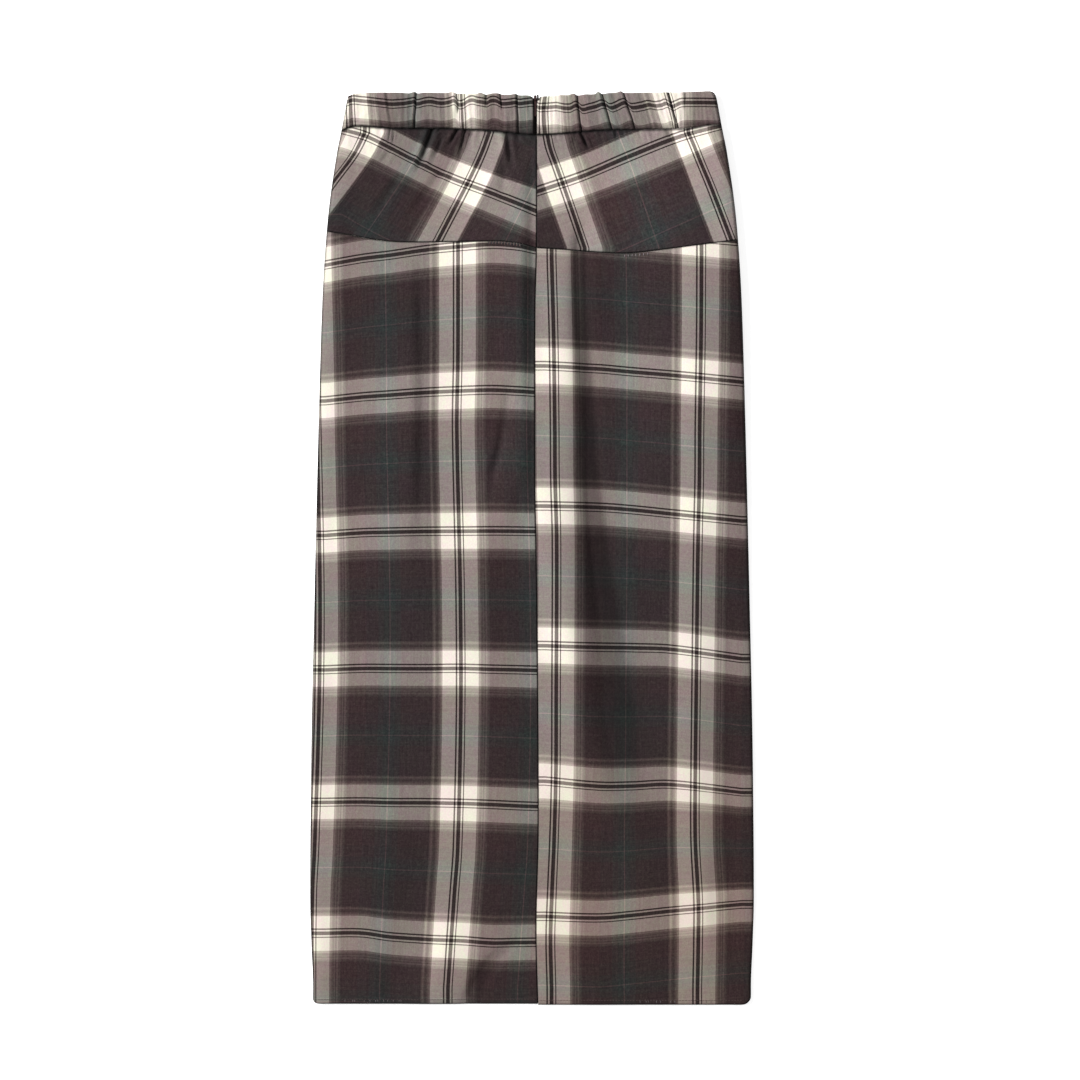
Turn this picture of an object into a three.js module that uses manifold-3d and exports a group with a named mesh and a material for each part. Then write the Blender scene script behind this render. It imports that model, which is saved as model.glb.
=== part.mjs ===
// Midi skirt laid flat on its front, with the back uppermost.
// Millimetres: X across the skirt, Y from the hem up to the waist, Z up from the surface it lies on.
// The origin is the middle of the skirt's outline, on that surface.
import * as THREE from 'three';
import { mergeVertices } from 'three/addons/utils/BufferGeometryUtils.js';
import Module from 'manifold-3d';

const { lerp, smoothstep, degToRad } = THREE.MathUtils;

// ---- Driving dimensions ----
const clothThickness = 1.2;
const seamGap = 0.3; // between two pieces at their seam
const frontBandThickness = 2.0; // plain casing, pressed flat
const backBandThickness = 3.0; // casing folded over elastic
const sideRoll = 4.0; // how far in from the side the cloth turns round
const seamDip = 0.7; // how far a sewn edge sinks
const seamSlope = 2.5; // width over which it sinks
const hemDepth = 5.5;
const hemTurning = 0.6; // what the turned hem adds to the thickness
const hemLine = -457;
const hemLeftRise = 1; // the left panel ends this much higher
const hemFrontRise = 1.5; // and the front a little higher still
const leftCornerRadius = 5;
const rightCornerRadius = 9;
const zipGap = { left: 1.4, right: 5.0 }; // the two waistband ends, on X

// Half the width of the flat skirt, alike to left and right.
const sideLine = [
  { y: -457, half: 219.2 },
  { y: -432, half: 219.2 },
  { y: -400, half: 220.6 },
  { y: -352, half: 222 },
  { y: -232, half: 221.2 },
  { y: -152, half: 220 },
  { y: -72, half: 218.2 },
  { y: 8, half: 216.4 },
  { y: 88, half: 214.5 },
  { y: 168, half: 212.4 },
  { y: 248, half: 209.8 },
  { y: 300, half: 206.8 },
  { y: 348, half: 202.2 },
  { y: 396, half: 195 },
  { y: 417, half: 190.8 },
  { y: 436, half: 187.2 },
  { y: 448, half: 185 },
  { y: 454, half: 183 },
  { y: 457, half: 180.5 },
];

// Where the seam down the middle of the back wanders to.
const centreSeam = [
  { y: -457, x: 6 },
  { y: -380, x: 4.2 },
  { y: -280, x: 6.4 },
  { y: -52, x: 5 },
  { y: 70, x: 3 },
  { y: 240, x: 3.2 },
  { y: 300, x: 4.6 },
  { y: 457, x: 4.6 },
];

// The three lines that run across the back, each from the left side to the right side.
const bandTop = [
  { x: -182, y: 454.5 },
  { x: -154, y: 456 },
  { x: -82, y: 456 },
  { x: -58, y: 454 },
  { x: -22, y: 454 },
  { x: -10, y: 453 },
  { x: 1, y: 449.5 },
  { x: 6, y: 450.5 },
  { x: 20, y: 451.5 },
  { x: 38, y: 454 },
  { x: 62, y: 455 },
  { x: 98, y: 456 },
  { x: 122, y: 454 },
  { x: 146, y: 456 },
  { x: 164, y: 457 },
  { x: 182, y: 455.5 },
];
const bandSeam = [
  { x: -191, y: 417 },
  { x: -177, y: 421.5 },
  { x: -142, y: 419.5 },
  { x: -84, y: 419 },
  { x: -50, y: 417.5 },
  { x: -27, y: 415.4 },
  { x: 0, y: 413 },
  { x: 28, y: 414 },
  { x: 50, y: 416 },
  { x: 77, y: 417.5 },
  { x: 122, y: 418 },
  { x: 160, y: 419 },
  { x: 176, y: 422 },
  { x: 191, y: 422 },
];
const yokeSeamLeft = [
  { x: -206, y: 317 },
  { x: -182, y: 313 },
  { x: -157, y: 308.3 },
  { x: -129, y: 306 },
  { x: -66, y: 305.6 },
  { x: -16, y: 303.1 },
  { x: 5, y: 300 },
];
const yokeSeamRight = [
  { x: 4, y: 300.4 },
  { x: 38, y: 298 },
  { x: 71, y: 295.6 },
  { x: 96, y: 294.8 },
  { x: 137, y: 299 },
  { x: 206, y: 308 },
];

// Underside of the back layer over the surface: it lies on the front, and rides over the zip.
const backUnderside = [
  { y: -457, z: 1.7 },
  { y: 150, z: 1.7 },
  { y: 235, z: 2.8 },
  { y: 300, z: 2.9 },
  { y: 415, z: 3.6 },
  { y: 457, z: 3.6 },
];
// Height of the side seams, where front and back meet edge to edge.
const sideSeamLevel = [
  { y: -457, z: 2.05 },
  { y: 150, z: 2.05 },
  { y: 300, z: 2.4 },
  { y: 412, z: 3.0 },
  { y: 457, z: 3.0 },
];

// Creases of the gathered waistband: their place on the top fold and on the seam, and their depth.
const bandCreases = [
  { top: -146, seam: -146, depth: 0.5 },
  { top: -116, seam: -117.3, depth: 1.3 },
  { top: -75, seam: -74, depth: 1.0 },
  { top: -45.5, seam: -46, depth: 0.6 },
  { top: -31, seam: -30, depth: 1.0 },
  { top: -14.5, seam: -14, depth: 1.3 },
  { top: 44.5, seam: 49, depth: 1.3 },
  { top: 69, seam: 80, depth: 1.2 },
  { top: 91, seam: 103.5, depth: 1.1 },
  { top: 137.4, seam: 144, depth: 0.9 },
  { top: 152, seam: 156, depth: 0.4 },
];

// Ease that runs down from the waistband into the yokes: where it starts, how it leans, how far it goes.
const yokeGathers = [
  { x: -143, lean: -2, reach: 30, depth: 0.5 },
  { x: -116, lean: -2, reach: 40, depth: 0.8 },
  { x: -101, lean: -3, reach: 45, depth: 0.6 },
  { x: -86, lean: -2, reach: 30, depth: 0.5 },
  { x: -72, lean: -3, reach: 35, depth: 0.7 },
  { x: -25, lean: -9, reach: 55, depth: 0.9 },
  { x: -8, lean: -4, reach: 35, depth: 0.5 },
  { x: 36, lean: 1, reach: 25, depth: 0.6 },
  { x: 50, lean: 2, reach: 30, depth: 0.7 },
  { x: 81, lean: 3, reach: 25, depth: 0.6 },
];

// Soft rises of the back where the cloth has some slack, each a long low mound.
const softRises = [
  { x: 35, y: 170, length: 130, width: 11, turn: 0, height: 1.3 },
  { x: 68, y: 150, length: 150, width: 15, turn: 0, height: 1.4 },
  { x: 150, y: 40, length: 240, width: 26, turn: 1, height: 0.8 },
  { x: 112, y: -330, length: 130, width: 30, turn: 8, height: 0.9 },
  { x: 40, y: -395, length: 90, width: 22, turn: -6, height: 0.7 },
  { x: -24, y: 140, length: 110, width: 13, turn: 2, height: 1.3 },
  { x: -42, y: 60, length: 60, width: 12, turn: -28, height: 0.9 },
  { x: -110, y: 190, length: 150, width: 32, turn: -3, height: 0.7 },
  { x: -150, y: -60, length: 230, width: 26, turn: 0, height: 0.7 },
  { x: -70, y: -370, length: 110, width: 26, turn: 12, height: 1.0 },
  { x: -160, y: -400, length: 80, width: 24, turn: -5, height: 0.7 },
];

// ---- Reading the tables ----

// A smooth curve through a table's rows, held flat past its two ends.
function read(table, place, value, at) {
  const last = table.length - 1;
  if (at <= table[0][place]) return table[0][value];
  if (at >= table[last][place]) return table[last][value];
  const i = table.findIndex((row) => row[place] > at) - 1;
  const slope = (a, b) => (table[b][value] - table[a][value]) / (table[b][place] - table[a][place]);
  const start = slope(Math.max(i - 1, 0), i + 1);
  const end = slope(i, Math.min(i + 2, last));
  const span = table[i + 1][place] - table[i][place];
  const t = (at - table[i][place]) / span;
  const rise = t * t * (3 - 2 * t);
  return (
    lerp(table[i][value], table[i + 1][value], rise) +
    span * (start * t * (1 - t) * (1 - t) - end * t * t * (1 - t))
  );
}

const sideAt = (y) => read(sideLine, 'y', 'half', y);
const centreAt = (y) => read(centreSeam, 'y', 'x', y);
const undersideAt = (y) => read(backUnderside, 'y', 'z', y);
const seamLevelAt = (y) => read(sideSeamLevel, 'y', 'z', y);

// How much the round corner at the hem takes off the side.
function cornerInset(y, hem, radius) {
  const short = radius - Math.min(y - hem, radius);
  return radius - Math.sqrt(radius * radius - short * short);
}

// ---- Walls of cloth ----

// A closed wall between a top and an under skin that share rows and columns of points.
function wallGeometry(rows, columns, place) {
  const placed = rows.map((row) => columns.map((column) => place(row, column)));
  const positions = [];
  for (const skin of ['top', 'under']) {
    for (const line of placed) for (const point of line) positions.push(...point[skin]);
  }
  const across = columns.length;
  const skinSize = rows.length * across;
  const top = (r, c) => r * across + c;
  const under = (r, c) => skinSize + r * across + c;
  const faces = [];
  const quad = (a, b, c, d) => faces.push(a, b, c, a, c, d);
  for (let r = 0; r < rows.length - 1; r += 1) {
    for (let c = 0; c < across - 1; c += 1) {
      quad(top(r, c), top(r, c + 1), top(r + 1, c + 1), top(r + 1, c));
      quad(under(r, c), under(r + 1, c), under(r + 1, c + 1), under(r, c + 1));
    }
    quad(top(r, 0), top(r + 1, 0), under(r + 1, 0), under(r, 0));
    quad(top(r, across - 1), under(r, across - 1), under(r + 1, across - 1), top(r + 1, across - 1));
  }
  const end = rows.length - 1;
  for (let c = 0; c < across - 1; c += 1) {
    quad(top(0, c), under(0, c), under(0, c + 1), top(0, c + 1));
    quad(top(end, c), top(end, c + 1), under(end, c + 1), under(end, c));
  }
  const geometry = new THREE.BufferGeometry();
  geometry.setAttribute('position', new THREE.Float32BufferAttribute(positions, 3));
  geometry.setIndex(faces);
  geometry.computeVertexNormals();
  return geometry;
}

// Columns of a piece from its side to the centre seam: the turn at the side, then even shares,
// then a step where the seam starts to sink.
const turnColumns = [0, 30, 60].map((angle) => ({ share: 0, inset: 0, turn: degToRad(angle) }));
function evenColumns(count) {
  const columns = [...turnColumns, { share: 0, inset: sideRoll }];
  for (let i = 1; i < count; i += 1) columns.push({ share: i / count, inset: 0 });
  columns.push({ share: 1, inset: -seamSlope }, { share: 1, inset: 0, edge: true });
  return columns;
}

// Columns that stand on creases, beside them and between them. A crease is given by its place
// on the piece's lower and upper edge, so the columns lean with it.
function creaseColumns(hand, creases, width, widest, side, centre) {
  const lines = [{ low: hand * (side - sideRoll), high: hand * (side - sideRoll) }];
  for (const crease of creases) {
    for (const offset of [-width, 0, width]) {
      lines.push({ low: crease.low + offset, high: crease.high + offset });
    }
  }
  lines.push({ low: centre + hand * seamSlope, high: centre + hand * seamSlope });
  lines.sort((a, b) => hand * (b.low - a.low));
  const filled = [];
  lines.forEach((line, i) => {
    filled.push(line);
    const next = lines[i + 1];
    if (!next) return;
    const parts = Math.ceil(Math.abs(next.low - line.low) / widest);
    for (let k = 1; k < parts; k += 1) {
      filled.push({ low: lerp(line.low, next.low, k / parts), high: lerp(line.high, next.high, k / parts) });
    }
  });
  const columns = filled.map((line) => ({
    share: (hand * side - line.low) / (hand * side - centre),
    inset: 0,
    lean: line.high - line.low,
  }));
  return [...turnColumns, ...columns, { share: 1, inset: 0, edge: true }];
}

// Rows from a piece's lower edge to its upper edge, with a step beside each edge.
function pieceRows(shares, lowerSteps, upperSteps) {
  return [
    ...lowerSteps.map((inset, i) => ({ share: 0, inset, edge: i === 0 })),
    ...shares.map((share) => ({ share, inset: 0 })),
    ...upperSteps.map((inset, i) => ({ share: 1, inset: -inset, edge: i === upperSteps.length - 1 })),
  ];
}

// One long mound, turned by its own angle.
function mound(rise, x, y) {
  const angle = degToRad(rise.turn);
  const along = (y - rise.y) * Math.cos(angle) - (x - rise.x) * Math.sin(angle);
  const aside = (x - rise.x) * Math.cos(angle) + (y - rise.y) * Math.sin(angle);
  return rise.height * Math.exp(-((along / rise.length) ** 2) - (aside / rise.width) ** 2);
}

// Outer height of the plain back cloth, with its slack and the fuller stretch beside the sides.
const sideFullness = { height: 0.6, from: 8, width: 10 };
function backCloth(x, y) {
  const fromSide = sideAt(y) - Math.abs(x);
  const full = sideFullness.height * Math.exp(-(((fromSide - sideFullness.from) / sideFullness.width) ** 2));
  const slack = softRises.reduce((sum, rise) => sum + mound(rise, x, y), 0);
  return undersideAt(y) + clothThickness + full + slack;
}

// One piece of the back, between two lines that cross it and from the side to the centre.
// hand is -1 on the left and 1 on the right.
function backPiece({ hand, rows, columns, lower, upper, centre, corner, wall, top, under, edgeDip }) {
  return wallGeometry(rows, hand < 0 ? columns : columns.toReversed(), (row, column) => {
    const spot = { x: hand * 100, y: 0, up: 0, above: 0 };
    let side = 0;
    for (let pass = 0; pass < 4; pass += 1) {
      const low = lower(spot.x) + seamGap / 2;
      const high = upper(spot.x) - seamGap / 2;
      spot.y = lerp(low, high, row.share) + row.inset;
      spot.above = spot.y - low;
      spot.up = spot.above / (high - low);
      side = hand * (sideAt(spot.y) - (corner ? cornerInset(spot.y, low, corner) : 0));
      const line = lerp(side, centre(spot.y), column.share) + (column.lean ?? 0) * spot.up;
      spot.x = line - hand * column.inset;
    }
    const { x, y } = spot;
    const sink = Math.max(row.edge ? edgeDip : 0, column.edge ? seamDip : 0);
    if (column.turn === undefined) return { top: [x, y, top(spot) - sink], under: [x, y, under(spot)] };

    const shoulder = { ...spot, x: side - hand * sideRoll };
    const level = seamLevelAt(y) + seamGap / 2;
    const rise = Math.sin(column.turn);
    const reach = 1 - Math.cos(column.turn);
    return {
      top: [side - hand * sideRoll * reach, y, lerp(level, top(shoulder) - sink, rise)],
      under: [side - hand * (wall + (sideRoll - wall) * reach), y, lerp(level, under(shoulder), rise)],
    };
  });
}

// ---- The back ----

const leftCreases = bandCreases.filter((crease) => crease.top < 0);
const rightCreases = bandCreases.filter((crease) => crease.top > 0);
const creaseWidth = 2.2;
const pillowHeight = 0.6;
const bandColumnStep = 9;
const bandEdgeDip = 1.5;

// Outer height of the gathered waistband: pillows between narrow creases.
function bandHeight({ x, y, up }) {
  let height = undersideAt(y) + backBandThickness + pillowHeight * 4 * up * (1 - up);
  for (const crease of bandCreases) {
    const away = (x - lerp(crease.seam, crease.top, up)) / creaseWidth;
    height -= crease.depth * Math.exp(-away * away);
  }
  return height;
}

function backBand(hand) {
  const creases = (hand < 0 ? leftCreases : rightCreases).map((c) => ({ low: c.seam, high: c.top }));
  const end = hand < 0 ? zipGap.left : zipGap.right;
  return backPiece({
    hand,
    rows: pieceRows([0.5], [0, 1.5, 6], [6, 1.5, 0]),
    columns: creaseColumns(hand, creases, creaseWidth * 1.3, bandColumnStep, sideAt(417), end),
    lower: (x) => read(bandSeam, 'x', 'y', x),
    upper: (x) => read(bandTop, 'x', 'y', x) + seamGap / 2,
    centre: () => end,
    wall: sideRoll / 2,
    top: bandHeight,
    under: (spot) => undersideAt(spot.y),
    edgeDip: bandEdgeDip,
  });
}

const gatherWidth = 3.2;
const yokeColumnStep = 12;

// Outer height of a yoke: the plain cloth, less the creases that run down from the waistband.
function yokeHeight({ x, y }) {
  const down = read(bandSeam, 'x', 'y', x) - y;
  let height = backCloth(x, y) + 0.4 * Math.exp(-down / 30);
  for (const gather of yokeGathers) {
    const away = (x - gather.x - (gather.lean * down) / gather.reach) / gatherWidth;
    const fade = 1 - smoothstep(down, 0.25 * gather.reach, gather.reach);
    height -= gather.depth * fade * Math.exp(-away * away);
  }
  return height;
}

function backYoke(hand) {
  const creases = yokeGathers
    .filter((gather) => hand * gather.x > 0)
    .map((gather) => ({ low: gather.x + gather.lean * 1.5, high: gather.x }));
  const line = hand < 0 ? yokeSeamLeft : yokeSeamRight;
  return backPiece({
    hand,
    rows: pieceRows([0.25, 0.5, 0.68, 0.82, 0.91], [0, seamSlope], [seamSlope, 0]),
    columns: creaseColumns(hand, creases, gatherWidth, yokeColumnStep, sideAt(360), centreAt(360)),
    lower: (x) => read(line, 'x', 'y', x),
    upper: (x) => read(bandSeam, 'x', 'y', x),
    centre: (y) => centreAt(y) + (hand * seamGap) / 2,
    wall: clothThickness,
    top: yokeHeight,
    under: (spot) => yokeHeight(spot) - clothThickness,
    edgeDip: seamDip,
  });
}

// Outer height of a lower panel: the plain cloth, thicker over the turned hem.
function panelHeight({ x, y, above }) {
  return backCloth(x, y) + (above <= hemDepth ? hemTurning : 0);
}

const panelRowCount = 20;
const panelColumnCount = 15;

function backPanel(hand) {
  const shares = Array.from({ length: panelRowCount }, (unused, i) => (i + 0.7) / (panelRowCount + 0.4));
  const line = hand < 0 ? yokeSeamLeft : yokeSeamRight;
  const hem = hand < 0 ? hemLine + hemLeftRise : hemLine;
  return backPiece({
    hand,
    rows: pieceRows(shares, [0, 1, 3, hemDepth, hemDepth + 2], [seamSlope, 0]),
    columns: evenColumns(panelColumnCount),
    lower: () => hem - seamGap / 2,
    upper: (x) => read(line, 'x', 'y', x),
    centre: (y) => centreAt(y) + (hand * seamGap) / 2,
    corner: hand < 0 ? leftCornerRadius : rightCornerRadius,
    wall: clothThickness,
    top: panelHeight,
    under: ({ x, y }) => backCloth(x, y) - clothThickness,
    edgeDip: seamDip,
  });
}

// ---- The front, which the skirt lies on ----

// A plain flat piece whose two sides turn up to the side seams.
function frontPiece({ levels, between, thickness, corners }) {
  const turns = [0, 30, 60, 90].map(degToRad);
  const columns = [
    ...turns.map((turn) => ({ hand: -1, turn, share: 1 })),
    ...between.map((share) => ({ hand: Math.sign(share), turn: Math.PI / 2, share: Math.abs(share) })),
    ...turns.toReversed().map((turn) => ({ hand: 1, turn, share: 1 })),
  ];
  return wallGeometry(levels, columns, (level, { hand, turn, share }) => {
    const rise = 1 - Math.sin(turn);
    const reach = 1 - Math.cos(turn);
    const radius = hand < 0 ? leftCornerRadius : rightCornerRadius;
    const spread = (y) => sideAt(y) - (corners ? cornerInset(y, levels[0], radius) : 0);
    const y = typeof level === 'function' ? level(hand * share * spread(frontSeam)) : level;
    const edge = seamLevelAt(y) - seamGap / 2;
    const outer = share * (spread(y) - sideRoll * reach);
    const inner = share * (spread(y) - thickness - (sideRoll - thickness) * reach);
    return {
      top: [hand * inner, y, lerp(thickness, edge, rise)],
      under: [hand * outer, y, edge * rise],
    };
  });
}

const frontSeam = 418;
// The front waistband's top edge, which stays hidden behind the back's.
const frontTop = [
  { x: -186, y: 453 },
  { x: -60, y: 452.5 },
  { x: -16, y: 450 },
  { x: 3, y: 448.5 },
  { x: 22, y: 449.5 },
  { x: 70, y: 453 },
  { x: 186, y: 454 },
];
const topEdge = (x) => read(frontTop, 'x', 'y', x);
const frontBand = () =>
  frontPiece({
    levels: [frontSeam + seamGap / 2, 424, 436, (x) => topEdge(x) - 1.5, topEdge],
    between: [-0.65, -0.3, -0.15, -0.05, 0.05, 0.15, 0.35, 0.65],
    thickness: frontBandThickness,
  });
const frontHem = hemLine + hemFrontRise;
const frontPanel = () =>
  frontPiece({
    levels: [
      frontHem, frontHem + 1, frontHem + 3, frontHem + 6, frontHem + 9, -432, -400, -352, -232, -152,
      -72, 8, 88, 168, 248, 300, 348, 396, frontSeam - seamGap / 2,
    ],
    between: [],
    thickness: clothThickness,
    corners: true,
  });

// ---- The concealed zip ----

const zipX = (zipGap.left + zipGap.right) / 2;
const tapeWidth = 24;
const tapeThickness = 1.0;
// Underside of the tape: over the front waistband, then down to the front panel.
const tapeUnderside = [
  { y: 250, z: 1.5 },
  { y: 385, z: 1.5 },
  { y: 400, z: 1.8 },
  { y: 412, z: 2.3 },
  { y: 450, z: 2.3 },
];

function zipTape() {
  const sides = [-tapeWidth / 2, tapeWidth / 2];
  return wallGeometry(tapeUnderside, sides, (row, offset) => ({
    top: [zipX + offset, row.y, row.z + tapeThickness],
    under: [zipX + offset, row.y, row.z],
  }));
}

// Slider: a small plate on the tape, with a bridge that the pull tab's eye turns in.
const slider = { width: 2.6, nose: 452.8, tail: 446, under: 3.6, thickness: 1.0 };
const bridge = { width: 1.0, opening: 0.87, leg: 0.6, rise: 1.57 };
const pivot = { y: 448.6, z: 5.3 };
const pull = { barThickness: 0.8, armLength: 2.3, armWidth: 0.4, width: 2.6, neck: 2.0, length: 17.5 };

const wasm = await Module();
wasm.setup();

function toSolid(geometry) {
  const bare = geometry.clone();
  bare.deleteAttribute('normal');
  bare.deleteAttribute('uv');
  const merged = mergeVertices(bare, 1e-4);
  return new wasm.Manifold(
    new wasm.Mesh({
      numProp: 3,
      vertProperties: new Float32Array(merged.attributes.position.array),
      triVerts: new Uint32Array(merged.index.array),
    }),
  );
}

function toGeometry(solid) {
  const mesh = solid.getMesh();
  const geometry = new THREE.BufferGeometry();
  geometry.setAttribute('position', new THREE.BufferAttribute(new Float32Array(mesh.vertProperties), 3));
  geometry.setIndex(new THREE.BufferAttribute(new Uint32Array(mesh.triVerts), 1));
  geometry.computeVertexNormals();
  return geometry;
}

function zipSlider() {
  const half = slider.width / 2;
  const outline = new THREE.Shape();
  outline.moveTo(zipX - half, slider.tail + 1);
  outline.quadraticCurveTo(zipX - half, slider.tail, zipX, slider.tail);
  outline.quadraticCurveTo(zipX + half, slider.tail, zipX + half, slider.tail + 1);
  outline.lineTo(zipX + half, slider.nose - 1);
  outline.quadraticCurveTo(zipX + half, slider.nose, zipX, slider.nose);
  outline.quadraticCurveTo(zipX - half, slider.nose, zipX - half, slider.nose - 1);
  const plate = new THREE.ExtrudeGeometry(outline, {
    depth: slider.thickness,
    bevelEnabled: false,
    curveSegments: 4,
  });
  plate.translate(0, 0, slider.under);

  // The bridge's side view, drawn along Y and Z, then extruded across X.
  const foot = slider.under + slider.thickness - pivot.z;
  const outer = bridge.opening + bridge.leg;
  const arch = new THREE.Shape();
  arch.moveTo(-outer, foot - 0.2);
  arch.lineTo(-bridge.opening, foot - 0.2);
  arch.lineTo(-bridge.opening, bridge.opening);
  arch.lineTo(bridge.opening, bridge.opening);
  arch.lineTo(bridge.opening, foot - 0.2);
  arch.lineTo(outer, foot - 0.2);
  arch.lineTo(outer, bridge.opening);
  arch.lineTo(bridge.opening, bridge.rise);
  arch.lineTo(-bridge.opening, bridge.rise);
  arch.lineTo(-outer, bridge.opening);
  const strap = new THREE.ExtrudeGeometry(arch, { depth: bridge.width, bevelEnabled: false });
  strap.translate(0, 0, -bridge.width / 2);
  strap.applyMatrix4(new THREE.Matrix4().makeBasis(
    new THREE.Vector3(0, 1, 0), new THREE.Vector3(0, 0, 1), new THREE.Vector3(1, 0, 0),
  ));
  strap.translate(zipX, pivot.y, pivot.z);
  return toGeometry(toSolid(plate).add(toSolid(strap)));
}

// Pull tab, lying down from its cross bar: a drop-shaped plate with a square eye.
function zipPull() {
  const bar = pull.barThickness / 2;
  const eye = bridge.width / 2 + seamGap;
  const shoulder = eye + pull.armWidth;
  const plateTop = -pull.armLength;
  const end = bar - pull.length;
  const half = pull.width / 2;
  const outline = new THREE.Shape();
  outline.moveTo(-shoulder, bar);
  outline.lineTo(-shoulder, plateTop - 0.8);
  outline.bezierCurveTo(-pull.neck / 2, plateTop - 3, -half, plateTop - 6, -half, end + half);
  outline.absarc(0, end + half, half, Math.PI, 2 * Math.PI, false);
  outline.bezierCurveTo(half, plateTop - 6, pull.neck / 2, plateTop - 3, shoulder, plateTop - 0.8);
  outline.lineTo(shoulder, bar);
  const hole = new THREE.Path();
  hole.moveTo(-eye, -bar);
  hole.lineTo(-eye, plateTop);
  hole.lineTo(eye, plateTop);
  hole.lineTo(eye, -bar);
  outline.holes.push(hole);
  const plate = new THREE.ExtrudeGeometry(outline, {
    depth: pull.barThickness,
    bevelEnabled: false,
    curveSegments: 6,
  });
  plate.translate(zipX, pivot.y, pivot.z - bar);
  return plate;
}

// ---- The whole skirt ----

const plaidCloth = new THREE.MeshStandardMaterial({ color: 0x8a7f78, roughness: 0.85, metalness: 0 });
const tapeCloth = new THREE.MeshStandardMaterial({ color: 0x2e2826, roughness: 0.9, metalness: 0 });
const zipMetal = new THREE.MeshStandardMaterial({ color: 0x4a3a36, roughness: 0.45, metalness: 0.6 });
const pullMetal = new THREE.MeshStandardMaterial({ color: 0x7a544c, roughness: 0.4, metalness: 0.5 });

const group = new THREE.Group();
function add(name, geometry, material) {
  const mesh = new THREE.Mesh(geometry, material);
  mesh.name = name;
  group.add(mesh);
}

add('waistband_front', frontBand(), plaidCloth);
add('panel_front', frontPanel(), plaidCloth);
add('waistband_back_left', backBand(-1), plaidCloth);
add('waistband_back_right', backBand(1), plaidCloth);
add('yoke_back_left', backYoke(-1), plaidCloth);
add('yoke_back_right', backYoke(1), plaidCloth);
add('panel_back_left', backPanel(-1), plaidCloth);
add('panel_back_right', backPanel(1), plaidCloth);
add('zip_tape', zipTape(), tapeCloth);
add('zip_slider', zipSlider(), zipMetal);
add('zip_pull', zipPull(), pullMetal);

export default group;
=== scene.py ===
"""A midi skirt laid flat on its front with the back uppermost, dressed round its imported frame.
The tables below are in millimetres, as a maker would write them; meshes are in metres."""
import math

import bmesh
import bpy
import numpy as np
from mathutils import Matrix, Vector, noise


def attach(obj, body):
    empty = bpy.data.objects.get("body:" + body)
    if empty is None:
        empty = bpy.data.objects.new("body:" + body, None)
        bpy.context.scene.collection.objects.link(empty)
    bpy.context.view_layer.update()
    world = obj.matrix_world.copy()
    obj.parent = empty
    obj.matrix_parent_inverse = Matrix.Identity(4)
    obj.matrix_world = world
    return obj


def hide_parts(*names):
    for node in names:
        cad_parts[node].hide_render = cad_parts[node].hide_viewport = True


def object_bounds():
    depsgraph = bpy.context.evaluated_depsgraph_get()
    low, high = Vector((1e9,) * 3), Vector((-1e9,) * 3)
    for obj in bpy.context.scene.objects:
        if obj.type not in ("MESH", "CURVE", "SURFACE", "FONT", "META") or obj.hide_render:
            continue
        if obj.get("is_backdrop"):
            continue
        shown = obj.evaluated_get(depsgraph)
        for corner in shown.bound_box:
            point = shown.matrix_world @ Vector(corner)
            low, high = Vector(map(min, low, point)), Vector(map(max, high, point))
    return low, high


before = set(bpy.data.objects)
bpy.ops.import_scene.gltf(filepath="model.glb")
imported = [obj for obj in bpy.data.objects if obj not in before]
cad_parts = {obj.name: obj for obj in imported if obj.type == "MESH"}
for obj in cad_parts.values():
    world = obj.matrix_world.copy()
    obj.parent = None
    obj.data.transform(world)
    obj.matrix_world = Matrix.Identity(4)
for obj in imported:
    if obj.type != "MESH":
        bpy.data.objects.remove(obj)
cad_low, cad_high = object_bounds()
MM = 0.001


# ---- The table it lies on -------------------------------------------------------------------
# A pale, evenly lit surface, seen from straight above. A broad soft lamp stands low on the left,
# and a weaker one fills in from the right, so that shallow folds in the cloth still show.

scene = bpy.context.scene
scene.view_settings.view_transform = "Standard"


def new_material(name):
    """A material with nodes, its tree and its Principled shader."""
    material = bpy.data.materials.new(name)
    material.use_nodes = True
    return material, material.node_tree, material.node_tree.nodes["Principled BSDF"]


def make_piece(build, name, material, smooth=True):
    """Turns what was built into a piece of one material, and puts it in the scene."""
    mesh = bpy.data.meshes.new(name)
    build.to_mesh(mesh)
    build.free()
    if smooth:
        mesh.shade_smooth()
    mesh.materials.append(material)
    piece = bpy.data.objects.new(name, mesh)
    scene.collection.objects.link(piece)
    return piece


def add_lamp(name, place, size, power):
    """A square lamp that faces the middle of the skirt."""
    light = bpy.data.lights.new(name, "AREA")
    light.size = size
    light.energy = power
    lamp = bpy.data.objects.new(name, light)
    lamp.location = place
    lamp.rotation_euler = (-Vector(place)).to_track_quat("-Z", "Y").to_euler()
    scene.collection.objects.link(lamp)


pale_paint, _, paint_shader = new_material("pale_table")
paint_shader.inputs["Base Color"].default_value = (0.92, 0.92, 0.92, 1)
paint_shader.inputs["Roughness"].default_value = 0.9
paint_shader.inputs["Emission Color"].default_value = (1, 1, 1, 1)
paint_shader.inputs["Emission Strength"].default_value = 0.6
build = bmesh.new()
bmesh.ops.create_grid(build, x_segments=1, y_segments=1, size=12.0)
table_top = make_piece(build, "table_top", pale_paint, smooth=False)
table_top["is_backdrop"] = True

add_lamp("lamp_left", place=(-6.0, 1.9, 2.9), size=2.6, power=1175)
add_lamp("lamp_right", place=(5.2, -0.8, 5.2), size=5.0, power=108)
world = bpy.data.worlds.new("studio")
world.use_nodes = True
world.node_tree.nodes["Background"].inputs["Color"].default_value = (1, 1, 1, 1)
world.node_tree.nodes["Background"].inputs["Strength"].default_value = 0.30
scene.world = world

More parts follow.
